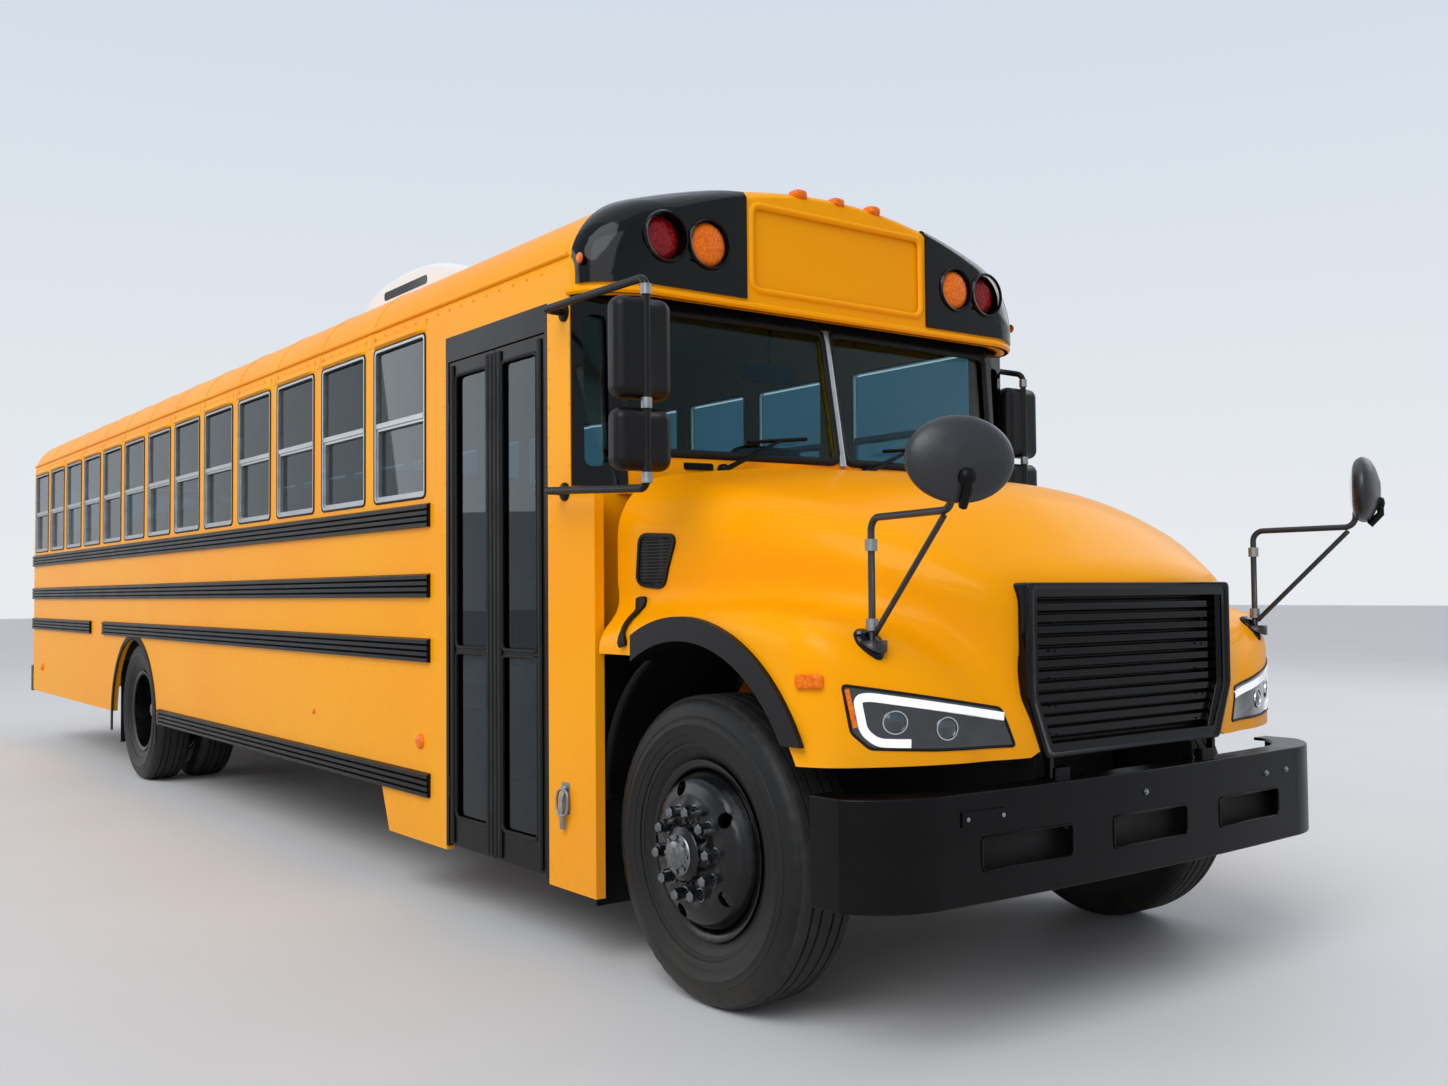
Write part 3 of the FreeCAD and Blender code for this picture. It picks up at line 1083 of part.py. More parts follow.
# Nose: one moulding of hood and fenders. The same form, shrunk, makes its inside.
def nose_section(x, half, crown, shoulder, low, corner):
    """One cross-section of the hood: upright sides, rounded shoulders and a crowned top."""
    def at(y, z):
        return FreeCAD.Vector(x, y, z)

    bend = corner * (1 - math.sqrt(0.5))
    return Part.Wire([
        Part.LineSegment(at(-half, low), at(-half, shoulder - corner)).toShape(),
        Part.Arc(at(-half, shoulder - corner), at(-half + bend, shoulder - bend),
                 at(-half + corner, shoulder)).toShape(),
        Part.Arc(at(-half + corner, shoulder), at(0, crown), at(half - corner, shoulder)).toShape(),
        Part.Arc(at(half - corner, shoulder), at(half - bend, shoulder - bend),
                 at(half, shoulder - corner)).toShape(),
        Part.LineSegment(at(half, shoulder - corner), at(half, low)).toShape(),
        Part.LineSegment(at(half, low), at(-half, low)).toShape(),
    ])


# Stations of the hood: distance ahead of the axle, half width, height in the middle and
# height at the shoulders. Points of the fenders' crest line: distance ahead and height.
HOOD_STATIONS = ((-541, 1130, 1904, 1835), (80, 1020, 1828, 1740), (560, 830, 1716, 1590),
                 (905, 600, 1450, 1395))
CREST_POINTS = ((-541, 1290), (-60, 1343), (400, 1343), (720, 1235), (905, 1040))


def nose_form(inset, low):
    """The nose's outer form, shrunk by an inset and open downwards to a height."""
    wires = []
    for ahead, half, crown, shoulder in HOOD_STATIONS:
        x = value(AXLE) + ahead - (inset if ahead > 800 else 0)
        if ahead < -500 and inset:
            x -= 20
        wires.append(nose_section(x, half - inset, crown - inset, shoulder - inset, low, 150 - inset / 2))
    form = Part.makeLoft(wires, True, False)
    side = value(SIDE) - inset
    crest = [FreeCAD.Vector(value(AXLE) + ahead, -side, height - inset) for ahead, height in CREST_POINTS]
    if inset:
        crest[0].x -= 20
        crest[-1].x -= inset
    feet = [FreeCAD.Vector(crest[0].x, -side, low), FreeCAD.Vector(crest[-1].x, -side, low)]
    fenders = smooth_prism(feet[:1] + crest + feet[1:], 2 * side)
    soft = [edge for edge in fenders.Edges if edge.Curve.TypeId == "Part::GeomBSplineCurve"]
    fenders = fenders.makeFillet(80 - inset / 2, soft)
    front, back = crest[-1].x, crest[0].x

    def at(x, y):
        return FreeCAD.Vector(x, y, low)

    plan = Part.Face(Part.Wire([
        Part.LineSegment(at(back, -side), at(front - 270, -side)).toShape(),
        Part.Arc(at(front - 270, -side), at(front - 160, -side + 90), at(front - 30, -side + 560)).toShape(),
        Part.Arc(at(front - 30, -side + 560), at(front, 0), at(front - 30, side - 560)).toShape(),
        Part.Arc(at(front - 30, side - 560), at(front - 160, side - 90), at(front - 270, side)).toShape(),
        Part.LineSegment(at(front - 270, side), at(back, side)).toShape(),
        Part.LineSegment(at(back, side), at(back, -side)).toShape(),
    ]))
    return form.fuse(fenders).common(plan.extrude(FreeCAD.Vector(0, 0, 2000)))


FENDER_LOW = value("fender_bottom")
SKIN = value("hood_skin")
nose_full = nose_form(0, FENDER_LOW)
nose_inner = nose_form(SKIN, FENDER_LOW - 50)
hood = nose_full.cut(nose_inner)
ARCH = value("wheel_arch")
ARCH_CENTRE = point(AXLE, "0", "wheel_arch_height")


def arch_disc(radius, low_y, high_y):
    """A round plug across one wheel arch."""
    return Part.makeCylinder(radius, high_y - low_y, ARCH_CENTRE + FreeCAD.Vector(0, low_y, 0),
                             FreeCAD.Vector(0, 1, 0))


hood = hood.cut(arch_disc(ARCH, -1400, 1400))
below = Part.makeBox(value("hood_back") + 100, 3000, value("hood_skirt") - 700, FreeCAD.Vector(
    value(aft("hood_back + 100")), -1500, 700))
hood = hood.cut(below)


def grille_outline(inset):
    """The grille's outline as (across, up): a rectangle with its lower corners taken off."""
    half = f"(grille_half - ({inset}))"
    foot = f"(grille_half - grille_chamfer - ({inset}) * 0.7)"
    low = f"grille_low + ({inset})"
    high = f"grille_high - ({inset})"
    return [(f"-{foot}", low), (foot, low), (half, "grille_knee"), (half, high), (f"-{half}", high),
            (f"-{half}", "grille_knee")]


grille_hole = prism([point(fore("nose_front - 200"), across, up) for across, up in grille_outline("0")],
                    FreeCAD.Vector(300, 0, 0))
hood = hood.cut(grille_hole)

# Corners of the right headlamp's opening: distance from the middle and height.
LAMP_CORNERS = ((589, 907), (879, 911), (1066, 921), (1114, 970), (1135, 1112), (636, 1026))
lamp_blocks = []
for side in (-1, 1):
    lamp_blocks.append(prism([FreeCAD.Vector(value(fore("640")), side * y, z) for y, z in LAMP_CORNERS],
                             FreeCAD.Vector(500, 0, 0)))
nose_lamps = []
for block in lamp_blocks:
    hood = hood.cut(block)
    nose_lamps.append(nose_full.cut(nose_form(60, FENDER_LOW - 50)).common(block))
node(computed("nose_skin", hood), "hood_shell")
node(computed("nose_lamps", Part.makeCompound(nose_lamps)), "headlamps")

# Fender flares: black bands round the wheel arches, with a lip turned into each.
flares = []
for side in (-1, 1):
    out = value(f"{SIDE} + flare_proud")
    deep = value(f"{SIDE} - flare_lip")
    low_y, high_y = (deep, out) if side > 0 else (-out, -deep)
    band = arch_disc(ARCH + value("flare_band"), low_y, high_y).cut(arch_disc(ARCH, low_y - 1, high_y + 1))
    band = band.cut(nose_full)
    lip = arch_disc(ARCH - 0.3, low_y, high_y).cut(arch_disc(ARCH - 16, low_y - 1, high_y + 1))
    flare = band.fuse(lip)
    keep = Part.makeBox(1000, 400, 800, FreeCAD.Vector(value(AXLE) - 300, low_y - 100, 925))
    flares.append(flare.common(keep).removeSplitter())
node(computed("flare_bands", Part.makeCompound(flares)), "fender_flares")

# Grille: a bevelled black frame with a ladder of slats.
grille = body_of("grille_body")
GRILLE_FRONT = fore("nose_front + 6")
pad(grille, "grille_frame", "YZ_Plane", [grille_outline("fit"), grille_outline("grille_border")],
    f"{GRILLE_FRONT} - grille_depth", "grille_depth")
slat = rectangle(("grille_border - grille_half", "grille_low + grille_border + slat_height"),
                 ("grille_half - grille_border", "grille_low + grille_border + 2 * slat_height"))
first_slat = pad(grille, "grille_slat", "YZ_Plane", [slat], f"{GRILLE_FRONT} - grille_depth + 14",
                 "slat_depth")
slats = row_of(grille, "grille_slats", first_slat, "Z_Axis",
               "grille_high - grille_low - 2 * grille_border - 3 * slat_height", "slat_count")
slats.Reversed = False
for side in ("", "-"):
    beyond = grille_outline("fit")
    corner = [(f"{side}{beyond[1][0]}", beyond[1][1]), (f"{side}{beyond[2][0]}", beyond[2][1]),
              (f"{side}{beyond[2][0]}", beyond[1][1])]
    pocket(grille, f"grille_corner_{'right' if side else 'left'}", "YZ_Plane",
           [corner[::-1] if side else corner], GRILLE_FRONT, "4 * grille_depth")
arms = []
for name, low_y, high_y in (("left", f"{RAIL_OUT} + pin_gap", f"{RAIL_OUT} + 18"),
                            ("right", f"-({RAIL_OUT} + 18)", f"-({RAIL_OUT} + pin_gap)")):
    arms.append(box(f"nose_arm_{name}",
                    (fore("pivot_ahead - ear_radius"), low_y, "pivot_height - ear_radius"),
                    (fore("pivot_ahead + ear_radius - 8"), high_y, "grille_low + grille_border / 2")))
node(join("grille_weld", [grille] + arms), "grille")


# Mirrors: a pair of heads on a bracket each side of the windshield, and an oval crossover
# mirror on a braced arm on each fender.
def rounded_block(low, high, radius):
    """A block with all its edges rounded."""
    block = Part.makeBox(high.x - low.x, high.y - low.y, high.z - low.z, low)
    return block.makeFillet(radius, block.Edges)


REACH = value("mirror_reach")
mirror_pairs = []
for side, ahead in ((-1, 120), (1, 780)):
    wall_x = value(aft("pillar_back + 37"))
    head_x = value(AXLE) - ahead
    surface = side * value(f"{SIDE} + fit")
    outer, inner = side * REACH, side * (REACH - 225)
    middle = (outer + inner) / 2
    low_y, high_y = min(outer, inner), max(outer, inner)
    upper_head = rounded_block(FreeCAD.Vector(head_x, low_y, 2040),
                               FreeCAD.Vector(head_x + 95, high_y, 2385), 40)
    lower_head = rounded_block(FreeCAD.Vector(head_x, low_y, 1800),
                               FreeCAD.Vector(head_x + 95, high_y, 2010), 40)
    away = surface + side * 90
    path = [FreeCAD.Vector(wall_x, surface, 2470), FreeCAD.Vector(wall_x, away, 2470),
            FreeCAD.Vector(head_x + 90, middle, 2450), FreeCAD.Vector(head_x + 90, middle, 1740),
            FreeCAD.Vector(wall_x, away, 1780), FreeCAD.Vector(wall_x, surface, 1780)]
    arm = tube(path, value("mirror_tube"), 40)
    mirror_pairs.append(arm.fuse([upper_head, lower_head]).removeSplitter())
node(computed("mirror_heads", Part.makeCompound(mirror_pairs)), "rear_view_mirrors")

crossovers = []
for side in (-1, 1):
    foot = FreeCAD.Vector(value(fore("719")), side * 1030, 1222)
    centre = FreeCAD.Vector(value(fore("front_reach - 85")), side * 1087, 1752)
    post = tube([foot, foot + FreeCAD.Vector(0, 0, 390), FreeCAD.Vector(centre.x - 30, centre.y, 1615),
                 FreeCAD.Vector(centre.x - 30, centre.y, 1700)], value("cross_tube"), 40)
    brace = tube([foot + FreeCAD.Vector(12, 0, 40), FreeCAD.Vector(centre.x - 60, centre.y, 1600)],
                 value("cross_tube") - 2, 10)
    base = Part.makeCylinder(45, 80, foot - FreeCAD.Vector(0, 0, 60))
    rings = []
    turn = FreeCAD.Rotation(FreeCAD.Vector(0, 0, 1), side * 25)
    for ahead, share in ((-42, 0.3), (-30, 0.78), (-12, 0.97), (6, 1.0), (26, 0.9), (46, 0.6), (60, 0.2)):
        oval = Part.Ellipse(*(centre + turn.multVec(FreeCAD.Vector(ahead, y * share, z * share))
                              for y, z in ((160, 0), (0, 122), (0, 0))))
        rings.append(Part.Wire(oval.toShape()))
    head = Part.makeLoft(rings, True, False)
    crossovers.append(post.fuse([brace, base, head]).cut(nose_full))
node(computed("oval_mirrors", Part.makeCompound(crossovers)), "crossover_mirrors")

# Stop arm: a blank eight-sided blade folded back along the left wall.
flat = "stop_size / (1 + sqrt(2)) / 2"
mid_x = aft("stop_front + stop_size / 2")
octagon = []
for first, second in (("stop_size / 2", flat), (flat, "stop_size / 2"), (f"-({flat})", "stop_size / 2"),
                      ("-stop_size / 2", flat), ("-stop_size / 2", f"-({flat})"),
                      (f"-({flat})", "-stop_size / 2"), (flat, "-stop_size / 2"),
                      ("stop_size / 2", f"-({flat})")):
    octagon.append((f"{mid_x} + {first}", f"stop_height + {second}"))
sign_blade = slab("stop_blade", "XZ_Plane", [octagon], f"-({SIDE} + 68)", "stop_thick")
hinge_plate = box("stop_plate", (aft("stop_front + 30"), f"{SIDE} + 60", "stop_height - 60"),
                  (aft("stop_front - 35"), f"{SIDE} + 68", "stop_height + 60"))
barrel = rod("stop_barrel", (aft("stop_front - 35"), f"{SIDE} + 64", "stop_height - 70"), "z",
             "10 - pin_gap", "140")
node(join("stop_weld", [sign_blade, hinge_plate, barrel]), "stop_arm")
node(box("stop_motor", (aft("stop_front + 5"), f"{SIDE} + fit", "stop_height - 100"),
         (aft("stop_front - 75"), f"{SIDE} + 54", "stop_height + 100")), "stop_arm_housing")

# Side, corner and rear glass.
for side in (-1, 1):
    panes.append(rear_pane(f"rear_pane_{side + 1}", (f"{side} * 800 - 210", "1920"),
                           (f"{side} * 800 + 210", "2480")))
node(group("panes_all", panes), "side_glass")

# Marker lamps along the roof edges and the tail.
markers = []
for index, across in enumerate((-210, 0, 210)):
    block = Part.makeBox(70, 70, 48, point(aft("cap_front + 65"), f"{across} - 35", "crown_height - 52"))
    markers.append(computed(f"clearance_{index}", block.cut(outer_cap)))
for index, across in enumerate((-1000, 1000)):
    markers.append(rod(f"tail_{index}", (aft("body_rear + 22"), f"{across}", "1450"), "x", "90", "22"))
    markers.append(rod(f"turn_{index}", (aft("body_rear + 22"), f"{across}", "1230"), "x", "90", "22"))
    markers.append(rod(f"flash_{index}", (aft("body_rear + 22"), f"{across * 0.9}", "2700"), "x", "88", "22"))
    markers.append(rod(f"flash_in_{index}", (aft("body_rear + 22"), f"{across * 0.69}", "2700"), "x",
                       "88", "22"))
node(group("marker_group", markers), "marker_lamps")

doc.recompute()
faults = [f"{thing.Label}: {' '.join(thing.State)}" for thing in doc.Objects
          if "Invalid" in thing.State or "Error" in thing.State]
if faults:
    raise RuntimeError("; ".join(faults))
os.makedirs("parts", exist_ok=True)
unsound = [thing.Label for thing in nodes if thing.Shape.isNull() or not thing.Shape.isValid()]
if unsound:
    raise RuntimeError("no valid shape: " + ", ".join(unsound))
for thing in nodes:
    thing.Shape.exportStep(f"parts/{thing.Label}.step")
print(len(nodes), "sub-parts")
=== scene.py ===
import math

import bmesh
import bpy
import numpy as np
from mathutils import Matrix, Vector


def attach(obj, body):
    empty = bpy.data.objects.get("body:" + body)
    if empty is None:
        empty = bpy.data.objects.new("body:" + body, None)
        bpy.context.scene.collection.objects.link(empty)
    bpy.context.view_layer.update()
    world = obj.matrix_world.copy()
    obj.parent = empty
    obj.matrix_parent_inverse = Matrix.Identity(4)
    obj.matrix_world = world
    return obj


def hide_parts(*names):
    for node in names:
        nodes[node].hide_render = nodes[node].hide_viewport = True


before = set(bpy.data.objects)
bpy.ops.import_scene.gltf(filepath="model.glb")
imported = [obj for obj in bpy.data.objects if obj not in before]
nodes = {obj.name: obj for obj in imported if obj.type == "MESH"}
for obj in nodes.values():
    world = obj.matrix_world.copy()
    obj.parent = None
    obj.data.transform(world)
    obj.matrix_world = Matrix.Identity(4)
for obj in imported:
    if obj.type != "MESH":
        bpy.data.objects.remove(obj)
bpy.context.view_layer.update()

scene = bpy.context.scene
scene.view_settings.view_transform = "Standard"
X, Y, Z = np.eye(3)
MIRROR = (1, -1, 1)


def stand(name, data):
    """Links an object into the scene."""
    made = bpy.data.objects.new(name, data)
    scene.collection.objects.link(made)
    return made


# Camera: stands low off the bus's right front corner, a little above headlamp height, as the
# photograph's camera does. Its place and turn are worked out from edges of known size.
CAMERA_PLACE, FOCAL_MM, SENSOR_MM = (8.72258, -3.83808, 1.39416), 33.478, 36
YAW, PITCH, ROLL = (math.radians(angle) for angle in (142.880, 2.0552, -0.5061))
sight = Vector((math.cos(YAW) * math.cos(PITCH), math.sin(YAW) * math.cos(PITCH), math.sin(PITCH)))
level = sight.cross(Vector((0, 0, 1))).normalized()
above = level.cross(sight)
camera_right = level * math.cos(ROLL) + above * math.sin(ROLL)
camera_up = above * math.cos(ROLL) - level * math.sin(ROLL)
camera = stand("camera", bpy.data.cameras.new("camera"))
camera.data.lens, camera.data.sensor_width, camera.data.clip_end = FOCAL_MM, SENSOR_MM, 300
camera.matrix_world = (Matrix.Translation(CAMERA_PLACE)
                       @ Matrix((camera_right, camera_up, -sight)).transposed().to_4x4())
scene.camera = camera


# Floor and studio: a pale floor under a pale sky that lamps and reflections also see, with
# a wide key lamp on the camera's side, a fill lamp opposite and a long lamp overhead.
def linear(code):
    """Linear light of an sRGB hex colour: c / 12.92 up to 0.04045, else ((c + 0.055) / 1.055) ^ 2.4."""
    parts = [int(code[start:start + 2], 16) / 255 for start in (1, 3, 5)]
    return [part / 12.92 if part <= 0.04045 else ((part + 0.055) / 1.055) ** 2.4 for part in parts] + [1.0]


def add(tree, kind, inputs=None, **settings):
    """Adds a shader node; an input is a plain value or another node's output, which is linked."""
    made = tree.nodes.new("ShaderNode" + kind)
    for key, setting in settings.items():
        setattr(made, key, setting)
    for key, source in (inputs or {}).items():
        if isinstance(source, bpy.types.NodeSocket):
            tree.links.new(source, made.inputs[key])
        else:
            made.inputs[key].default_value = source
    return made


def new_material(name, **sockets):
    """A material with its Principled shader at plain values, its node tree and its place in metres."""
    made = bpy.data.materials.new(name)
    made.use_nodes = True
    tree = made.node_tree
    for key, setting in sockets.items():
        tree.nodes["Principled BSDF"].inputs[key.replace("_", " ")].default_value = setting
    return made, tree, add(tree, "TexCoord").outputs["Object"]


def feed(tree, colour, rough, height, relief, strength=1.0):
    """Feeds the Principled shader its colour and roughness, and a bump of so many metres' relief."""
    sources = {"Base Color": colour, "Roughness": rough}
    if relief:
        bump = add(tree, "Bump", {"Height": height, "Distance": relief, "Strength": strength})
        sources["Normal"] = bump.outputs["Normal"]
    for key, source in sources.items():
        tree.links.new(source, tree.nodes["Principled BSDF"].inputs[key])


def blotched(name, colours, grain, rough, relief=0.0, fine=0.01, stretch=(1, 1, 1), **sockets):
    """A finish that varies with noise: colour and roughness over grain metres, height over fine metres."""
    made, tree, place = new_material(name, **sockets)
    place = add(tree, "Mapping", {"Vector": place, "Scale": stretch}).outputs["Vector"]
    broad = add(tree, "TexNoise", {"Vector": place, "Scale": 1 / grain, "Detail": 4.0, "Roughness": 0.6})
    limits = {"Value": broad.outputs["Fac"], "From Min": 0.3, "From Max": 0.7}
    share = add(tree, "MapRange", limits).outputs["Result"]
    polish = add(tree, "MapRange", {**limits, "To Min": rough[0], "To Max": rough[1]}).outputs["Result"]
    tone = add(tree, "Mix", {"Factor": share, "A": linear(colours[0]), "B": linear(colours[1])}, data_type="RGBA")
    height = None
    if relief:
        height = add(tree, "TexNoise", {"Vector": place, "Scale": 1 / fine, "Detail": 3.0}).outputs["Fac"]
    feed(tree, tone.outputs["Result"], polish, height, relief)
    return made


def weld(mesh, distance):
    """Merges points nearer than a distance and turns all normals outward."""
    work = bmesh.new()
    work.from_mesh(mesh)
    bmesh.ops.remove_doubles(work, verts=work.verts, dist=distance)
    bmesh.ops.recalc_face_normals(work, faces=work.faces)
    work.to_mesh(mesh)
    work.free()


def shade(mesh, angle):
    """Smooth shading, with edges kept where the faces turn by more than an angle."""
    mesh.shade_smooth()
    mesh.set_sharp_from_angle(angle=math.radians(angle))


def round_off(made, width, steps):
    """Rounds every edge that turns by more than 32 degrees."""
    soft = made.modifiers.new("edges", "BEVEL")
    soft.width, soft.segments, soft.limit_method = width, steps, "ANGLE"
    soft.angle_limit = math.radians(32)
    soft.harden_normals = True


def make(name, shape, finish, smooth=None, bevel=0.0, bevel_steps=2, solid=0.0):
    """Puts a shape into a mesh object at the origin; smooth is the angle above which an edge stays sharp."""
    mesh = bpy.data.meshes.new(name)
    mesh.from_pydata(np.reshape(shape[0], (-1, 3)).tolist(), [], [list(map(int, face)) for face in shape[1]])
    mesh.validate()
    made = stand(name, mesh)
    mesh.materials.append(finish)
    weld(mesh, 1e-6)
    if smooth is not None:
        shade(mesh, smooth)
    if solid:
        skin = made.modifiers.new("thickness", "SOLIDIFY")
        skin.thickness, skin.offset = solid, -1
    if bevel:
        round_off(made, bevel, bevel_steps)
        mesh.shade_smooth()
    return made


def grid(rows, cols, round_rows=False, round_cols=False):
    """Quads over points laid out row by row; a round direction joins its end to its start."""
    row, col = np.meshgrid(np.arange(rows if round_rows else rows - 1),
                           np.arange(cols if round_cols else cols - 1), indexing="ij")
    after, beside = (row + 1) % rows, (col + 1) % cols
    return np.stack([row * cols + col, after * cols + col, after * cols + beside, row * cols + beside],
                    -1).reshape(-1, 4)


FLOOR_HALF = 90.0
floor_line = np.linspace(-FLOOR_HALF, FLOOR_HALF, 3)
floor_points = np.stack(np.meshgrid(floor_line, floor_line, [0.0], indexing="ij"), -1)
make("studio_floor", (floor_points, grid(3, 3)),
              blotched("painted_studio_floor", ("#D9DADB", "#DEDFE0"), 2.0, (0.55, 0.62)))

world = bpy.data.worlds.new("studio")
scene.world = world
world.use_nodes = True
sky = world.node_tree
sky.nodes.clear()
seen = add(sky, "LightPath").outputs
direct = add(sky, "Math", {0: seen["Is Camera Ray"], 1: seen["Is Glossy Ray"]}, operation="MAXIMUM").outputs[0]
shown = add(sky, "Math", {0: direct, 1: seen["Is Transmission Ray"]}, operation="MAXIMUM").outputs[0]
height = add(sky, "SeparateXYZ", {0: add(sky, "TexCoord").outputs["Generated"]}).outputs["Z"]
climb = add(sky, "MapRange", {"Value": height, "From Max": 0.6}).outputs["Result"]
pale = add(sky, "Mix", {"Factor": climb, "A": linear("#E9ECEF"), "B": linear("#C9D6E6")}, data_type="RGBA")
lit = add(sky, "Background", {"Color": linear("#F2F5FF"), "Strength": 0.36})
plain = add(sky, "Background", {"Color": pale.outputs["Result"], "Strength": 1.0})
either = add(sky, "MixShader", {0: shown, 1: lit.outputs[0], 2: plain.outputs[0]})
add(sky, "OutputWorld", {"Surface": either.outputs[0]})
for label, place, aim, size, watts in (
        ("key_lamp", (16.0, -15.0, 13.0), (2.0, 0.0, 1.2), (14.0, 14.0), 1050.0),
        ("fill_lamp", (-14.0, -14.0, 7.0), (-1.0, 0.0, 1.4), (12.0, 8.0), 450.0),
        ("far_lamp", (4.0, 15.0, 10.0), (0.0, 0.0, 1.4), (12.0, 8.0), 400.0),
        ("top_lamp", (0.0, 0.0, 14.0), (0.0, 0.0, 0.0), (18.0, 12.0), 300.0)):
    lamp = stand(label, bpy.data.lights.new(label, "AREA"))
    lamp.data.shape, lamp.data.energy = "RECTANGLE", watts
    lamp.data.size, lamp.data.size_y = size
    lamp.location = place
    lamp.rotation_euler = (Vector(aim) - Vector(place)).to_track_quat("-Z", "Y").to_euler()
day = stand("day_lamp", bpy.data.lights.new("day_lamp", "SUN"))
day.data.energy, day.data.angle = 1.35, math.radians(40)
day.rotation_euler = (math.radians(40), math.radians(22), 0)


# Body sheet: bent and lapped steel under glossy school-bus yellow enamel, a little dusty
# low down, where the road throws it up. The walls, tail and front frame are riveted to bows.
AXLE = 5.03
SIDE = 1.219
TAIL = AXLE - 11.2
CAP_FRONT = AXLE - 0.541
WINDOW_FRONT, BAY = AXLE - 2.026, 0.706
WINDOW, SILL, HEAD = 0.58, 1.84, 2.59
DUST_LOW, DUST_HIGH = 0.25, 1.1


def dust(tree, place, specks, high, low):
    """Dust that grows from none at one height to 0.3 at a lower one, broken up by specks."""
    height = add(tree, "SeparateXYZ", {0: place}).outputs["Z"]
    fall = add(tree, "MapRange", {"Value": height, "From Min": high, "From Max": low, "To Max": 0.3})
    return add(tree, "Math", {0: fall.outputs["Result"], 1: specks}, operation="MULTIPLY").outputs[0]


def enamel(name, colours):
    """Yellow enamel under a clear coat: broad drifts of tone, faint orange peel, dust towards the ground."""
    made, tree, place = new_material(name, Coat_Weight=0.07, Coat_Roughness=0.07, Specular_IOR_Level=0.07)
    drift = add(tree, "TexNoise", {"Vector": place, "Scale": 0.8, "Detail": 3.0}).outputs["Fac"]
    share = add(tree, "MapRange", {"Value": drift, "From Min": 0.35, "From Max": 0.65}).outputs["Result"]
    paint = add(tree, "Mix", {"Factor": share, "A": linear(colours[0]), "B": linear(colours[1])}, data_type="RGBA")
    specks = add(tree, "TexNoise", {"Vector": place, "Scale": 14.0, "Detail": 6.0, "Roughness": 0.7})
    dusty = dust(tree, place, specks.outputs["Fac"], DUST_HIGH, DUST_LOW)
    tone = add(tree, "Mix", {"Factor": dusty, "A": paint.outputs["Result"], "B": linear("#A8876A")},
               data_type="RGBA").outputs["Result"]
    polish = add(tree, "MapRange", {"Value": dusty, "From Max": 0.2, "To Min": 0.34, "To Max": 0.55})
    # Orange peel is about 4 mm across in life; 12 mm here, so that it shows at all.
    peel = add(tree, "TexNoise", {"Vector": place, "Scale": 1 / 0.012, "Detail": 1.0}).outputs["Fac"]
    feed(tree, tone, polish.outputs["Result"], peel, 0.0006, 0.12)
    return made


def carry(made, body, slot, *replaced):
    """Fixes a piece to a body; the record's slot that it takes its finish from is not used."""
    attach(made, body)
    if replaced:
        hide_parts(*replaced)
    return made


def dress(finish, *names):
    """Gives carried-over solids their finish."""
    for name in names:
        mesh = nodes[name].data
        mesh.materials.clear()
        mesh.materials.append(finish)


def softened(name, node, finish, body, slot, angle=34, edge=0.0):
    """A smooth-shaded copy of a solid: its triangles welded, with edges kept where they turn sharply."""
    mesh = nodes[node].data.copy()
    mesh.name = name
    weld(mesh, 2e-5)
    mesh.materials.clear()
    mesh.materials.append(finish)
    shade(mesh, angle)
    made = stand(name, mesh)
    if edge:
        round_off(made, edge, 2)
    even = made.modifiers.new("even_normals", "WEIGHTED_NORMAL")
    even.keep_sharp, even.weight = True, 80
    carry(made, body, slot, node)


yellow = enamel("school_bus_yellow_enamel", ("#FFA300", "#FFAC00"))
dress(yellow, "side_wall_right", "side_wall_left", "rear_wall", "rear_door", "windshield_frame")
softened("roof_sheet", "roof_shell", yellow, "coach", "body_yellow", angle=25)
softened("front_cap_shell", "front_cap", yellow, "coach", "body_yellow", angle=38)

# Roof lap seams: pressed steel strips over the roof bows, one at each window post,
# enamelled with the roof whose sheets they cover.
EAVES, CROWN, CORNER = 2.61, 3.08, 0.33
INWARD, DROP = SIDE - CORNER, EAVES - CROWN
CROWN_RADIUS = (CORNER ** 2 - INWARD ** 2 - DROP ** 2) / (2 * (DROP + CORNER))
MEET = math.atan2(EAVES - (CROWN - CROWN_RADIUS), INWARD)


def gather(*shapes):
    """Several shapes, each of points and faces, as one."""
    points, faces, count = [], [], 0
    for some_points, some_faces in shapes:
        points.append(np.reshape(np.asarray(some_points, float), (-1, 3)))
        faces += [[int(corner) + count for corner in face] for face in some_faces]
        count += len(points[-1])
    return np.concatenate(points), faces


def piece(name, shape, finish, body, slot, *replaced, **form):
    """A shape made into an object and carried by its body."""
    return carry(make(name, shape, finish, **form), body, slot, *replaced)


def lift(flat, axis, level):
    """Flat points put into space: the given axis is level, the other two keep their order."""
    return np.insert(np.asarray(flat, float), axis, level, axis=1)


def mm(*sizes):
    """Flat points in metres from pairs of millimetres."""
    return np.reshape(sizes, (-1, 2)) / 1000


def carried(path, profile, up=Z, closed=False, swell=1.0):
    """A profile (across, over) carried along a path; across is the path's direction crossed with up."""
    path, profile = np.asarray(path, float), np.asarray(profile, float)
    ahead = np.roll(path, -1, 0) - np.roll(path, 1, 0) if closed else np.gradient(path, axis=0)
    across = np.cross(ahead, np.broadcast_to(up, path.shape))
    across /= np.linalg.norm(across, axis=1, keepdims=True)
    over = np.cross(across, ahead)
    over /= np.linalg.norm(over, axis=1, keepdims=True)
    points = path[:, None] + np.reshape(swell, (-1, 1, 1)) * (across[:, None] * profile[None, :, :1]
                                                              + over[:, None] * profile[None, :, 1:])
    count = len(profile)
    faces = grid(len(path), count, closed, True).tolist()
    if not closed:
        faces += [list(range(count))[::-1], list(range((len(path) - 1) * count, len(path) * count))]
    return points, faces


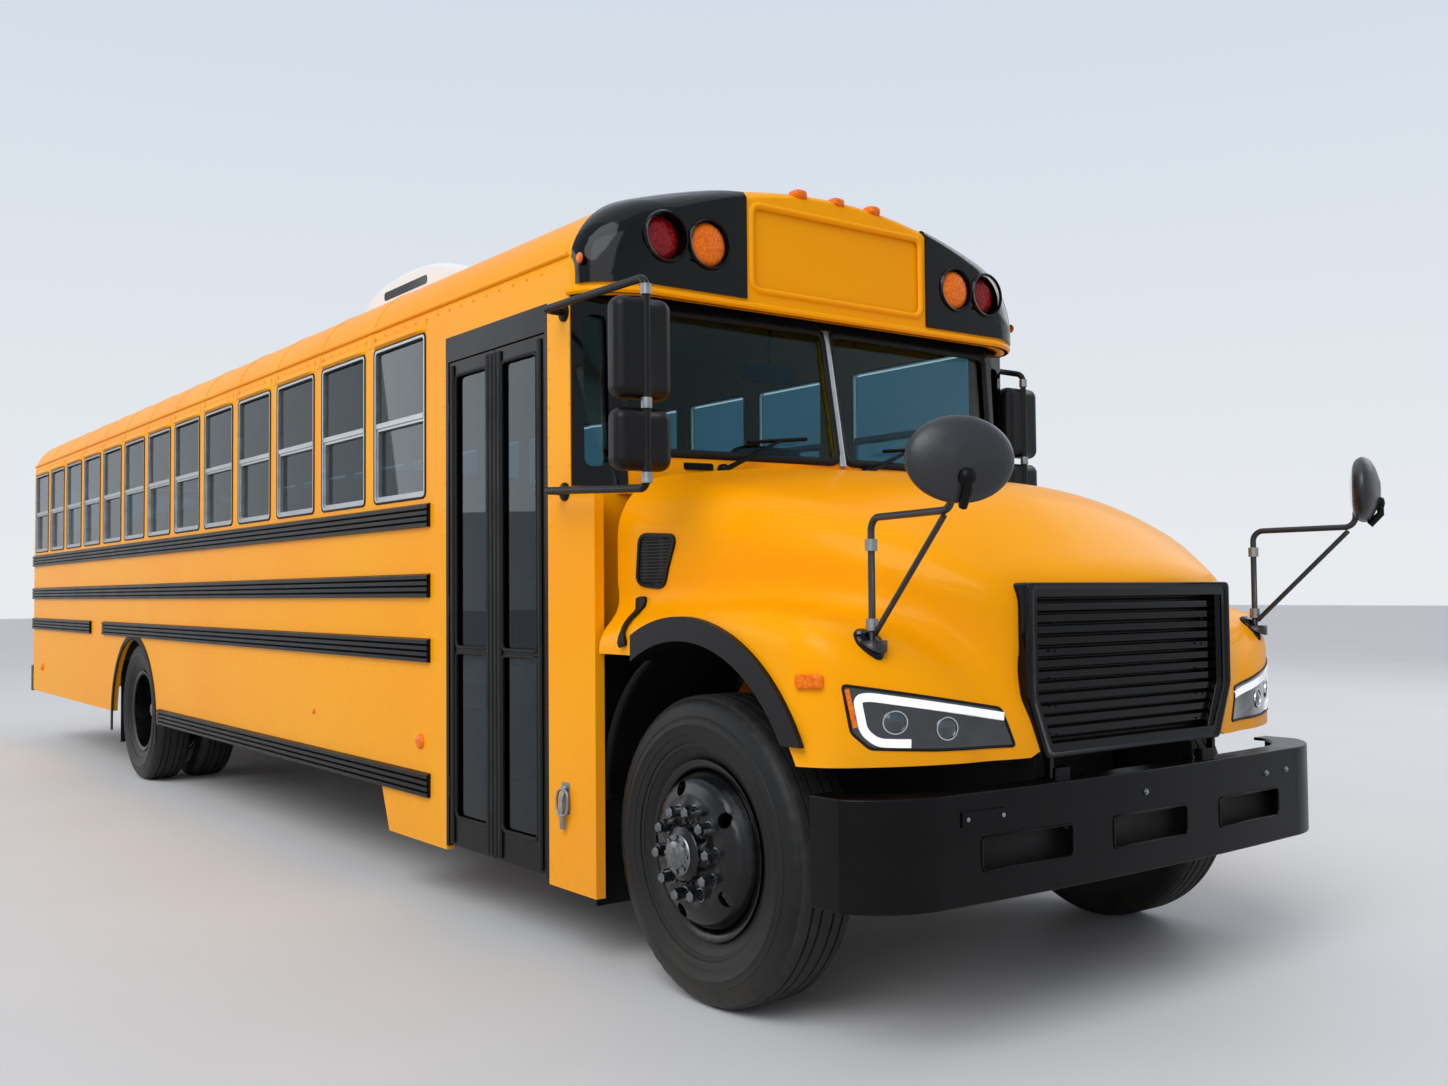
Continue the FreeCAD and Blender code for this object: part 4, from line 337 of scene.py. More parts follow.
def roof_line(count, proud):
    """The roof's outline (y, z): a corner arc of 0.33 m, one crown arc tangent to it, the other corner."""
    sweep = np.linspace(0, 1, count)[:, None]
    near = np.concatenate([INWARD + (CORNER + proud) * np.cos(MEET * sweep),
                           EAVES + (CORNER + proud) * np.sin(MEET * sweep)], 1)
    turn = MEET + (math.pi - 2 * MEET) * sweep
    top = np.concatenate([(CROWN_RADIUS + proud) * np.cos(turn),
                          CROWN - CROWN_RADIUS + (CROWN_RADIUS + proud) * np.sin(turn)], 1)
    return np.concatenate([near, top[1:-1], near[::-1] * (-1, 1)])


window_fronts = WINDOW_FRONT - BAY * np.arange(13)
bow_x = window_fronts[1:] + (BAY - WINDOW) / 2
strip = carried(lift(roof_line(14, 0.0005), 0, 0.0), mm(-3, -22, -3, 22, 2.2, 20, 2.2, -20), X)
seams = gather(*[(strip[0] + (x, 0, 0), strip[1]) for x in bow_x])
piece("roof_seams", seams, yellow, "coach", "body_yellow", smooth=40)


# Rivets: flat steel domes that hold the wall sheets to the frame, painted over, along the drip
# rail, down the posts and round the tail and doorway.
def lathe(profile, centre=(0.0, 0.0, 0.0), axis=0, steps=24, ripple=0.0):
    """A profile (along, radius) turned about an axis: (along, r cos a, r sin a), poles merged later."""
    profile = np.asarray(profile, float)
    turn = np.arange(steps) * 2 * math.pi / steps
    radius = profile[:, 1:] * np.ones((1, steps)) + ripple
    points = np.stack([profile[:, :1] * np.ones((1, steps)), radius * np.cos(turn), radius * np.sin(turn)], -1)
    return np.roll(points, axis, -1) + np.asarray(centre, float), grid(len(profile), steps, False, True)


def repeated(shape, places):
    """One shape at many places."""
    points = np.reshape(shape[0], (1, -1, 3)) + np.reshape(np.asarray(places, float), (-1, 1, 3))
    faces = np.asarray(shape[1])
    steps = np.arange(len(points))[:, None, None] * points.shape[1]
    return points, (faces[None] + steps).reshape(-1, faces.shape[1])


def twin(shape):
    """A shape and its mirror image across the middle of the bus."""
    points = np.reshape(np.asarray(shape[0], float), (-1, 3))
    return gather((points, shape[1]), (points * MIRROR, [list(face)[::-1] for face in shape[1]]))


dome = lathe(mm(0, 6.5, 2.2, 4.2, 3, 0), axis=1, steps=7)
wall_x, post_z = np.arange(TAIL + 0.1, AXLE - 0.95, 0.118), np.arange(0.62, 2.56, 0.115)
spots = [(x, 2.655) for x in wall_x] + [(AXLE - 1.83, z) for z in post_z[4:]]
spots += [(AXLE - 0.888, z) for z in post_z[3:]] + [(AXLE - 0.745, z) for z in post_z[10:]]
spots += [(x, 1.02) for x in wall_x[4:-12]] + [(TAIL + 0.03, z) for z in post_z]
spots = [(x, z) for x, z in spots if not -2.98 < x < -1.49 or z > 1.3]
rivets = repeated((dome[0] * MIRROR, dome[1]), lift(spots, 1, -SIDE))
piece("wall_rivets", twin(rivets), yellow, "coach", "body_yellow", smooth=60)

# Drip rails: a rolled steel gutter down each side where the roof laps over the wall, riveted
# on and enamelled with it.
GUTTER_Z = 2.7
gutter_y = SIDE - (CORNER - math.sqrt(CORNER ** 2 - (GUTTER_Z - EAVES) ** 2))
gutter = carried([(TAIL + 0.03, -gutter_y, GUTTER_Z), (AXLE - 0.75, -gutter_y, GUTTER_Z)],
                 mm(-4, -12, 12, -12, 17, -6, 17, 4, 12, 2, 11, -5, 4, -6, -4, 6))
piece("drip_rails", twin(gutter), yellow, "coach", "body_yellow", bevel=0.001)


# Window hoods: the wall sheet is pressed out over each window into an eyebrow that sheds
# water, fading at both ends.
def shell(rows, *ends):
    """Quads between closed rings of equally many points, closed off at the rings of the given numbers."""
    rows = np.asarray(rows, float)
    numbers = np.arange(rows.shape[0] * rows.shape[1]).reshape(rows.shape[:2])
    return rows, grid(*rows.shape[:2], False, True).tolist() + [numbers[end].tolist() for end in ends]


brow = mm(-4, 0, 14, 4, 24, 12, 24, 20, 12, 40, -4, 56)
run = np.linspace(0, 1, 15)[:, None]
swell = np.clip(np.minimum(run, 1 - run) / 0.09, 0, 1) ** 0.5
brow_rows = np.stack(np.broadcast_arrays((WINDOW + 0.02) * run, -brow[:, 0] * swell, brow[:, 1]), -1)
brows = gather(*[shell(brow_rows + (x, -SIDE, HEAD + 0.002), 0, -1) for x in window_fronts - WINDOW - 0.01])
piece("window_hoods", twin(brows), yellow, "coach", "body_yellow", smooth=45)

# Black enamel, moulded plastic and rubber: bumpers and door frames are satin enamel, the
# lamp housings and grille gloss ABS, mirrors and flares grained plastic, seals EPDM rubber.
satin_black = blotched("satin_black_enamel", ("#050506", "#0A0A0B"), 0.3, (0.26, 0.36), 0.0003, 0.008,
                       Specular_IOR_Level=0.13)
gloss_black = blotched("gloss_black_abs", ("#030304", "#060607"), 0.4, (0.06, 0.11), Specular_IOR_Level=0.22)
grained_black = blotched("grained_black_plastic", ("#08080A", "#0E0E10"), 0.2, (0.34, 0.44), 0.0005, 0.003,
                         Specular_IOR_Level=0.22)
rubber = blotched("black_epdm_rubber", ("#050505", "#0B0B0B"), 0.15, (0.5, 0.68), 0.0004, 0.004,
                  Specular_IOR_Level=0.25)
grey_shell = blotched("grained_grey_plastic", ("#1A1A1D", "#242428"), 0.2, (0.3, 0.4), 0.0005, 0.003)
dress(satin_black, "rear_bumper", "entrance_steps", "door_leaf_front", "door_leaf_rear", "rub_rails")
dress(gloss_black, "grille")
dress(grained_black, "dashboard", "stop_arm_housing")
dress(rubber, "mud_flaps")
softened("bumper_shell", "front_bumper", satin_black, "coach", "trim_black", angle=38, edge=0.006)
softened("lamp_pods", "lamp_housings", gloss_black, "coach", "lamp_black", angle=38)
softened("flare_bands", "fender_flares", grained_black, "hood", "moulded_black", angle=30)
softened("side_mirrors", "rear_view_mirrors", grained_black, "coach", "moulded_black", angle=40)
softened("oval_mirrors", "crossover_mirrors", grey_shell, "hood", "moulded_black", angle=40)

# Chassis, axles and springs: rolled steel rails in black chassis paint, forged axles, springs
# and knuckles darkened by oil, and an exhaust of aluminised steel stained by heat.
chassis_paint = blotched("chassis_black_paint", ("#0B0B0B", "#191716"), 0.25, (0.5, 0.75), 0.001, 0.01,
                         Specular_IOR_Level=0.3)
forged = blotched("forged_steel", ("#232220", "#35322F"), 0.12, (0.45, 0.7), 0.0012, 0.008, Metallic=0.7)
stained = blotched("aluminised_exhaust_steel", ("#6E6A64", "#8C8477"), 0.2, (0.35, 0.55), 0.0006, 0.01,
                   Metallic=0.9)
dress(chassis_paint, "chassis_frame", "fuel_tank")
dress(forged, "front_axle", "rear_axle", "leaf_springs", "engine_block", "knuckle_left", "knuckle_right")
dress(stained, "exhaust")


# Tank straps: two flat bands of galvanised steel round the fuel tank, with rounded corners
# like its own.
def bent(corners, radius, steps=5, closed=False):
    """A path round corners: (1 - t)^2 A + 2 t (1 - t) C + t^2 B, from radius before each to radius after."""
    corners = np.asarray(corners, float)
    before, after = np.roll(corners, 1, 0) - corners, np.roll(corners, -1, 0) - corners
    back = np.linalg.norm(before, axis=1, keepdims=True)
    on = np.linalg.norm(after, axis=1, keepdims=True)
    start = corners + before / back * np.minimum(radius, 0.49 * back)
    end = corners + after / on * np.minimum(radius, 0.49 * on)
    t = np.linspace(0, 1, steps)[None, :, None]
    curve = (1 - t) ** 2 * start[:, None] + 2 * t * (1 - t) * corners[:, None] + t ** 2 * end[:, None]
    if closed:
        return curve.reshape(-1, corners.shape[1])
    return np.concatenate([corners[:1], curve[1:-1].reshape(-1, corners.shape[1]), corners[-1:]])


def rounded(low, high, radius, steps=5):
    """A rectangle with rounded corners, as flat points."""
    return bent([low, (high[0], low[1]), high, (low[0], high[1])], radius, steps, closed=True)


def section(*half):
    """A symmetric profile (across, over) from its right half in millimetres, listed from the foot up."""
    half = mm(*half)
    return np.concatenate([half[:1] * (-1, 1), half, half[:0:-1] * (-1, 1)])


galvanised = blotched("galvanised_steel", ("#7C8083", "#9CA0A3"), 0.05, (0.3, 0.5), 0.0004, 0.005, Metallic=0.9)
strap_ring = rounded((-1.124, 0.496), (-0.466, 0.884), 0.05)
straps = gather(*[carried(lift(strap_ring, 0, AXLE - back), section(3, -30, 3, 30), X, closed=True)
                  for back in (3.62, 4.38)])
piece("tank_straps", straps, galvanised, "coach", "steel_grey", smooth=40)

# Inside: grey painted steel floor and seat legs, with ribbed black rubber glued down the aisle
# and on the entrance steps.
grey_paint = blotched("grey_interior_paint", ("#4C4E50", "#57595B"), 0.3, (0.4, 0.55), 0.0004, 0.01)
dress(grey_paint, "floor", "seat_legs")


def extruded(outline, shift):
    """An outline carried straight along a shift, closed at both ends."""
    outline = np.asarray(outline, float)
    return shell([outline, outline + shift], 0, 1)


def ribbed(low_y, high_y, ribs, ground, back, length):
    """Ribbed rubber along the bus: a saw between two heights across it, on a flat back."""
    line = np.stack([np.linspace(low_y, high_y, ribs), np.where(np.arange(ribs) % 2, ground[1], ground[0])], -1)
    line = np.concatenate([line, [(high_y, ground[2]), (low_y, ground[2])]])
    return extruded(lift(line, 0, back), (length, 0, 0))


runner = ribbed(-0.17, 0.17, 35, (1.0015, 1.004, 1.0), TAIL + 0.06, 8.9)
treads = [ribbed(-1.17, -0.97, 21, (0.331, 0.334, 0.3305), AXLE - 1.78, 0.84),
          ribbed(-0.935, -0.735, 21, (0.554, 0.557, 0.5535), AXLE - 1.78, 0.84)]
piece("aisle_runner", gather(runner, *treads), rubber, "coach", "rubber_sheet")

# Side windows: split sashes in mill-finish aluminium with rounded corners, the lower sash set
# in behind its own bar, each frame pressed into a black glazing strip.
tinted = blotched("tinted_tempered_glass", ("#486A7C", "#517385"), 1.2, (0.008, 0.02), Transmission_Weight=1.0,
                  IOR=1.33, Specular_Tint=linear("#7393AB"))
aluminium = blotched("mill_finish_aluminium", ("#9DA1A4", "#B3B6B8"), 0.05, (0.3, 0.42), 0.0002, 0.004,
                     stretch=(0.1, 1, 1), Metallic=0.9)
shield_tint = blotched("laminated_windshield_glass", ("#9FC3C6", "#A6C9CC"), 1.5, (0.006, 0.015),
                       Transmission_Weight=1.0, IOR=1.33, Specular_Tint=linear("#8FB4C4"))
dress(tinted, "side_glass", "rear_door_glass")
dress(shield_tint, "windshield_glass")
for label in ("front", "rear"):
    softened(f"door_panes_{label}", f"door_glass_{label}", tinted, f"door_{label}_leaf", "tinted_glass")
BAR, MEETING_HALF, MIDDLE = 0.014, 0.013, (SILL + HEAD) / 2


def oval(radius, count=12, squash=1.0):
    """A ring of points: (r cos a, r squash sin a)."""
    turn = np.arange(count) * 2 * math.pi / count
    return np.stack([radius * np.cos(turn), radius * squash * np.sin(turn)], -1)


def bead(path, radius, up, count=6, squash=1.0):
    """A round cord along a closed path."""
    return carried(path, oval(radius, count, squash), up, closed=True)


def band(outer, inner, shift):
    """The strip between two outlines of equally many points, thickened along a shift."""
    rows = np.concatenate([outer, np.add(outer, shift), np.add(inner, shift), inner])
    return rows, grid(4, len(outer), True, True)


def framed(low, high, radius, axis, level, steps=5):
    """A rounded rectangle stood up in space, square to an axis."""
    return lift(rounded(low, high, radius, steps), axis, level)


def hollow_frame(low, high, radius, width, inner_radius, level, depth):
    """A rectangular frame of some width on the right wall, thickened inward."""
    return band(framed(low, high, radius, 1, level),
                framed(np.add(low, width), np.subtract(high, width), inner_radius, 1, level), (0, depth, 0))


def sash(front, width):
    """One window on the right wall: an outer ring, a meeting bar and the lower sash's own inner ring."""
    ring = hollow_frame((front - width, SILL), (front, HEAD), 0.03, BAR, 0.022, -SIDE - 0.004, 0.034)
    left, right, low, high = front - width + 0.02, front - 0.02, MIDDLE - MEETING_HALF, MIDDLE + MEETING_HALF
    meeting = extruded(lift([(left, low), (right, low), (right, high), (left, high)], 1, -SIDE - 0.003),
                       (0, 0.03, 0))
    inner = hollow_frame((front - width + BAR - 0.004, SILL + BAR - 0.004), (front - BAR + 0.004, MIDDLE - 0.008),
                         0.012, 0.018, 0.01, -SIDE + 0.004, 0.024)
    return gather(ring, meeting, inner)


driver_window = sash(AXLE - 0.9, 0.88)
sashes = gather(twin(gather(*[sash(front, WINDOW) for front in window_fronts])),
                (driver_window[0] * MIRROR, driver_window[1]))
piece("sash_frames", sashes, aluminium, "coach", "aluminium", "window_frames", bevel=0.0018, bevel_steps=1)
strips = gather(*[bead(framed((front - WINDOW - 0.004, SILL - 0.004), (front + 0.004, HEAD + 0.004), 0.032, 1,
                              -SIDE - 0.0005), 0.006, Y) for front in window_fronts])
piece("glazing_strips", twin(strips), rubber, "coach", "rubber_sheet", smooth=60)

# Entrance: rubber edges on the leaves, a thick double seal where they meet, beads round the
# panes and a polished grab rail inside.
DOOR_MID = AXLE - 1.3575
LEAF_Y = -(SIDE - 0.004)
seal = section(11, -4, 15, 4, 9, 11)
for label, way, seal_x, pane_x in (("front", 1, AXLE - 0.97, AXLE - 0.997),
                                   ("rear", -1, AXLE - 1.745, AXLE - 1.718)):
    body = f"door_{label}_leaf"
    lips = gather(*[carried([(x, LEAF_Y, 0.31), (x, LEAF_Y, 2.4)], seal, -Y)
                    for x in (DOOR_MID + way * 0.018, DOOR_MID + way * 0.052, seal_x)])
    piece(f"door_seal_{label}", lips, rubber, body, "rubber_sheet", bevel=0.002)
    back_x, front_x = sorted((DOOR_MID + way * 0.065, pane_x))
    beads = gather(*[bead(framed((back_x, low), (front_x, high), 0.03, 1, LEAF_Y + 0.001), 0.008, Y, 8)
                     for low, high in ((1.162, 2.352), (0.424, 1.138))])
    piece(f"door_beads_{label}", beads, rubber, body, "rubber_sheet", smooth=60)
steel_polish = blotched("polished_stainless_steel", ("#9DA0A2", "#B6B9BB"), 0.04, (0.12, 0.22), Metallic=1.0)
rail_line = lift(mm(-1130, 700, -1020, 780, -1000, 1750, -1150, 1900), 0, AXLE - 0.99)
grab_rail = carried(bent(rail_line, 0.09, 8), oval(0.016), X)
piece("grab_rail", grab_rail, steel_polish, "coach", "steel_grey", smooth=60)

# Front cap: a rolled lip under it, following its plan, and a moulded border round the blank
# destination panel.
cap_plan = mm(-194, -1219, -130, -1197, -75, -1149, -30, -1079, 0, -994)
cap_plan += (CAP_FRONT, 0)
cap_edge = bent(np.concatenate([cap_plan, (cap_plan * (1, -1))[::-1]]), 0.03, 4)
lip = carried(lift(cap_edge + (-0.008, 0), 2, 2.548), mm(-12, -18, 10, -18, 18, -8, 16, 6, 6, 16, -12, 20))
piece("cap_lip", lip, yellow, "coach", "body_yellow", bevel=0.003)
border = carried(framed((-0.482, 2.612), (0.482, 2.962), 0.05, 0, CAP_FRONT + 0.001, 8),
                 mm(-15, -4, -10, 6, 0, 10, 10, 6, 15, -4), X, closed=True)
piece("panel_border", border, yellow, "coach", "body_yellow", smooth=50)


# Warning lamps: moulded acrylic lenses with small prisms, red outside and amber inside, each
# in a black ABS bezel let into the cap.
def cellular(name, colours, cell, rough, relief, strength, drift=None, **sockets):
    """A face of small moulded cells, coloured by the cells themselves or by a slow drift of tone."""
    made, tree, place = new_material(name, **sockets)
    cells = share = add(tree, "TexVoronoi", {"Vector": place, "Scale": 1 / cell}).outputs["Distance"]
    if drift:
        share = add(tree, "TexNoise", {"Vector": place, "Scale": drift, "Detail": 4.0}).outputs["Fac"]
    tone = add(tree, "Mix", {"Factor": share, "A": linear(colours[0]), "B": linear(colours[1])}, data_type="RGBA")
    polish = add(tree, "MapRange", {"Value": cells, "To Min": rough[0], "To Max": rough[1]}).outputs["Result"]
    feed(tree, tone.outputs["Result"], polish, cells, relief, strength)
    return made


PRISM, LAMP_Z, LAMP_R = 0.014, 2.762, 0.088
amber, red_lens = (cellular(name, colours, PRISM, (0.12, 0.24), 0.003, 0.7, Coat_Weight=0.12, Coat_Roughness=0.05,
                            Specular_IOR_Level=0.2)
                   for name, colours in (("amber_acrylic", ("#FF8A00", "#E05A00")),
                                         ("red_acrylic", ("#B00510", "#5A020A"))))
lens_line = [(0.0, LAMP_R - 0.002), (0.026, LAMP_R - 0.003), (0.034, LAMP_R - 0.012), (0.039, 0.06), (0.041, 0.03),
             (0.0415, 0.0)]
bezel_line = mm(0, 92, 0, 104, 8, 103, 14, 97, 12, 91.5, 0, 92)
lamp_places = (("amber", amber, 0.7, CAP_FRONT - 0.028), ("red", red_lens, 0.905, CAP_FRONT - 0.058))
for colour, finish, across, seat in lamp_places:
    lens = lathe(lens_line, (seat, -across, LAMP_Z), steps=40)
    piece(f"{colour}_flashers", twin(gather(lens, extruded(lens[0][0], (-0.002, 0, 0)))), finish, "coach",
          "lamp_lens", "warning_lamps", smooth=35)
bezels = gather(*[lathe(bezel_line, (CAP_FRONT + 0.006, -place[2], LAMP_Z), steps=40) for place in lamp_places])
piece("flasher_bezels", twin(bezels), gloss_black, "coach", "lamp_black", smooth=40)

# Windshield: two curved panes in a black rubber gasket with a grey metal bar between them,
# and a corner window each side in a black moulded surround.
SHIELD_LOW, SHIELD_TOP, CURVE_HALF = 1.935, 2.5, 1.06


def shield_x(y, z):
    """The raked frame's face: nose and corner lines lean back at different rates, joined by a circular arc
    in plan to half 1.06 m and by a flat from there to the wall."""
    rise = (z - SHIELD_LOW) / (SHIELD_TOP - SHIELD_LOW)
    nose, corner = AXLE - 0.546 - 0.1 * rise, AXLE - 0.64 - 0.035 * rise
    sag = nose - corner
    radius = (CURVE_HALF ** 2 + sag ** 2) / (2 * sag)
    curve = nose - (radius - np.sqrt(np.maximum(radius ** 2 - y ** 2, 0)))
    flat = corner + (AXLE - 0.735 - corner) * (np.abs(y) - CURVE_HALF) / (SIDE - CURVE_HALF)
    return np.where(np.abs(y) <= CURVE_HALF, curve, flat)


def on_shield(flat, proud=0.0):
    """Flat points (y, z) laid on the raked frame."""
    flat = np.asarray(flat, float)
    return np.column_stack([shield_x(flat[:, 0], flat[:, 1]) + proud, flat])


def divided(corners, step):
    """A closed outline with points added so that none are further apart than step."""
    corners = np.asarray(corners, float)
    runs = []
    for first, second in zip(corners, np.roll(corners, -1, 0)):
        count = max(int(np.linalg.norm(second - first) / step), 1)
        runs.append(first + (second - first) * np.arange(count)[:, None] / count)
    return np.concatenate(runs)


def matched(outline, count=96):
    """An outline laid out again as count evenly spaced points, from the point nearest its lower left."""
    outline = np.roll(outline, -int(np.argmin(outline.sum(1))), 0)
    closed = np.concatenate([outline, outline[:1]])
    run = np.concatenate([[0], np.cumsum(np.linalg.norm(np.diff(closed, axis=0), axis=1))])
    spots = np.linspace(0, run[-1], count, endpoint=False)
    return np.column_stack([np.interp(spots, run, closed[:, 0]), np.interp(spots, run, closed[:, 1])])


pane = divided(rounded((-1.03, SHIELD_LOW), (-0.018, SHIELD_TOP), 0.05, 6), 0.06)
gasket = carried(on_shield(pane, 0.001), mm(-16, -3, 18, -3, 18, 4, 6, 11, -10, 9, -16, 3), X, closed=True)
piece("shield_gaskets", twin(gasket), rubber, "coach", "rubber_sheet", smooth=50)
outer = divided(mm(-1216, 1800, -1030, 1800, -1030, 2545, -1216, 2545), 0.05)
inner = divided(rounded((-1.174, 1.875), (-1.09, 2.46), 0.03, 6), 0.05)
surround = band(on_shield(matched(outer), 0.006), on_shield(matched(inner), 0.006), (-0.05, 0, 0))
piece("corner_surrounds", twin(surround), gloss_black, "coach", "trim_black", smooth=40)
header = carried(on_shield(np.linspace((-CURVE_HALF, 2.532), (CURVE_HALF, 2.532), 41), 0.001),
                 section(20, -3, 20, 4), X)
piece("header_band", header, satin_black, "coach", "trim_black")
bar = carried(on_shield(np.linspace((0, SHIELD_LOW - 0.02), (0, SHIELD_TOP + 0.01), 12), 0.004),
              section(19, -4, 15, 7, 4, 11), X)
piece("centre_bar", bar, aluminium, "coach", "aluminium", bevel=0.0015)

# Wipers: two pressed-steel arms that taper from round pivots, with rubber blades, parked low on
# the glass.
wipers = []
for pivot, tip, blade in (((-0.62, 1.878), (-0.33, 2.012), ((-0.5, 1.992), (-0.2, 2.022))),
                          ((0.13, 1.9), (0.41, 2.012), ((0.24, 1.996), (0.54, 2.024)))):
    arm = carried(on_shield(np.linspace(pivot, tip, 12), 0.03), oval(0.011, 8, 0.6), X,
                  swell=np.linspace(1.0, 0.55, 12))
    edge = carried(on_shield(np.linspace(*blade, 10), 0.02), mm(-4, -8, 4, -8, 8, 4, 0, 12, -8, 4), X)
    foot = lathe(mm(0, 22, 22, 22, 32, 15, 34, 0), on_shield([pivot])[0], steps=14)
    wipers += [arm, edge, foot]
piece("wipers", gather(*wipers), satin_black, "coach", "trim_black", smooth=40)

# Cowl vents: an air intake of black pressed steel let into the right of the cowl, with four
# louvres across it.
vent = extruded(on_shield(divided(rounded((-0.79, 1.872), (-0.66, 1.9), 0.008), 0.05), 0.004), (-0.01, 0, 0))
louvre = mm(-2, -2, 2, -2, 3, 3, -1, 3)
louvres = [carried(on_shield([(-0.785, z), (-0.665, z)], 0.006), louvre, X) for z in (1.877, 1.883, 1.889, 1.895)]
piece("cowl_vents", gather(vent, *louvres), satin_black, "coach", "trim_black")

# Inside mirror: a wide mirror in a crowned black casing, on a round stalk from the header
# over the windshield.
mirror_x = AXLE - 0.72
soft = np.sign(oval(1.0, 28)) * np.abs(oval(1.0, 28)) ** 0.6
casing = shell([lift(soft * (0.15 * share, 0.04 * share), 0, along) + (mirror_x, -0.26, 2.31) for along, share in (
    (-0.02, 0.001), (-0.018, 0.6), (-0.008, 0.92), (0.004, 1.0), (0.01, 0.95), (0.012, 0.001))])
stalk = carried([(mirror_x, -0.26, 2.34), (mirror_x + 0.02, -0.26, 2.5)], oval(0.008, 10), X)
piece("inside_mirror", gather(casing, stalk), satin_black, "coach", "trim_black", smooth=50)

# Roof unit and hatch: white glass fibre, with flat black plates down the unit's sides painted as the shade of
# intake slots, and a grey plate on its sloping front painted as the shade of a recess.
white_gloss = blotched("white_glass_fibre", ("#E6E7E6", "#F0F1F0"), 0.4, (0.3, 0.42), 0.0004, 0.01)
recess_shade_grey = blotched("grey_painted_recess_shade", ("#6C7072", "#7A7E80"), 0.1, (0.4, 0.5), 0.0004, 0.006)
dress(white_gloss, "hatch_lid")
softened("roof_unit_cowl", "roof_unit", white_gloss, "coach", "white_paint", angle=32)
# the intake slots are flat black plates: their black is painted shade in place of openings
slots = extruded(framed((AXLE - 3.95, 3.155), (AXLE - 3.35, 3.205), 0.024, 1, -0.602), (0, 0.006, 0))
piece("unit_slot_shade_plates", twin(slots), gloss_black, "coach", "trim_black")
# the recess is a grey plate laid proud of the slope: its grey is painted shade
recess = rounded((AXLE - 3.3, -0.3), (AXLE - 2.98, 0.3), 0.08)
recess_z = np.interp(recess[:, 0], [AXLE - 3.56, AXLE - 3.1, AXLE - 2.8], [3.285, 3.225, 3.125]) + 0.001
piece("unit_recess", extruded(np.column_stack([recess, recess_z]), (0, 0, 0.004)), recess_shade_grey, "coach",
      "moulded_black", bevel=0.003)

# Hood: one glass-fibre moulding of hood and fenders, painted with the body. Its outer face is
# an implicit form, met by rays from inside, first level and then tipped forward over the nose.
NOSE, NOSE_FLAT, BLEND, ARC = 0.905, 0.56, 0.14, 165
FRONT_ARCH, FRONT_ARCH_Z = 0.625, 0.62
STATIONS = np.array([-0.541, 0.08, 0.56, NOSE])
HALVES, CROWNS, SHOULDERS = np.array([[1.13, 1.02, 0.83, 0.6], [1.904, 1.828, 1.716, 1.45],
                                      [1.835, 1.74, 1.59, 1.395]])
CREST_X = np.array([-0.541, -0.06, 0.4, 0.72, NOSE])
CREST_Z = np.array([1.29, 1.343, 1.343, 1.235, 1.04])
FENDER_TIP, RAY_AXIS_Z = AXLE + 0.36, 1.1


def through(x, xs, ys):
    """A smooth curve through points: cubic pieces with slopes from the neighbours."""
    slopes = np.gradient(ys, xs)
    x = np.clip(x, xs[0] - 0.2, xs[-1] + 0.2)
    k = np.clip(np.searchsorted(xs, x) - 1, 0, len(xs) - 2)
    h = xs[k + 1] - xs[k]
    t = (x - xs[k]) / h
    return ((2 * t ** 3 - 3 * t ** 2 + 1) * ys[k] + (t ** 3 - 2 * t ** 2 + t) * h * slopes[k]
            + (3 * t ** 2 - 2 * t ** 3) * ys[k + 1] + (t ** 3 - t ** 2) * h * slopes[k + 1])


def softly(radius, *depths):
    """The depth inside several faces at once, with their meeting edges rounded to a radius."""
    return radius - np.sqrt(sum(np.maximum(radius - depth, 0) ** 2 for depth in depths))


def nose_depth(place):
    """How far inside the nose a point is: hood and fender, each bounded by its side, its top and the front,
    and blended into each other over 0.14 m."""
    x, y, z = place[..., 0] - AXLE, np.abs(place[..., 1]), place[..., 2]
    half = through(x, STATIONS, HALVES)
    crown, shoulder = through(x, STATIONS, CROWNS), through(x, STATIONS, SHOULDERS)
    edge = np.interp(x, [-0.54, 0.5, 0.9], [0.2, 0.12, 0.07])
    top = crown - (crown - shoulder) * (y / np.maximum(half - edge, 0.1)) ** 2
    outward = np.clip((y - NOSE_FLAT) / (SIDE - NOSE_FLAT), 0, 1)
    ahead = NOSE - 0.03 * np.minimum(y / NOSE_FLAT, 1) ** 2 - 0.24 * outward ** 2.2 - x
    hood = softly(0.07, softly(edge, half - y, top - z), ahead)
    fender = softly(0.09, softly(0.1, SIDE - y, through(x, CREST_X, CREST_Z) - z), ahead)
    share = np.clip(0.5 + (hood - fender) / (2 * BLEND), 0, 1)
    return fender * (1 - share) + hood * share + BLEND / 2 * share * (1 - share)


def meet_nose(start, direction, reach=2.2):
    """Where rays from inside leave the nose, by halving the interval thirty times."""
    start, direction = np.broadcast_arrays(np.asarray(start, float), np.asarray(direction, float))
    near, far = np.zeros(start.shape[:-1]), np.full(start.shape[:-1], reach)
    for _ in range(30):
        middle = (near + far) / 2
        inside = nose_depth(start + middle[..., None] * direction) > 0
        near, far = np.where(inside, middle, near), np.where(inside, far, middle)
    return start + near[..., None] * direction


def nose_normal(place):
    """The outward normal of the nose: the depth's falling direction, from differences over 2 mm."""
    slope = np.stack([nose_depth(place - shift) - nose_depth(place + shift) for shift in np.eye(3) * 0.002], -1)
    return slope / np.linalg.norm(slope, axis=-1, keepdims=True)


def laid(flat, proud, start, way, axis):
    """Flat points sent along a way from inside until they lie on the nose, with their normals."""
    place = meet_nose(lift(flat, axis, start), way)
    normal = nose_normal(place)
    return place + normal * proud, normal


def on_nose(flat, proud=0.0):
    """Flat points (y, z) laid on the nose from behind, with their normals."""
    return laid(flat, proud, AXLE + 0.25, X, 0)


def on_cheek(flat, proud=0.0):
    """Flat points (x, z) laid on the right cheek of the nose from inside, with their normals."""
    return laid(flat, proud, -0.3, -Y, 1)


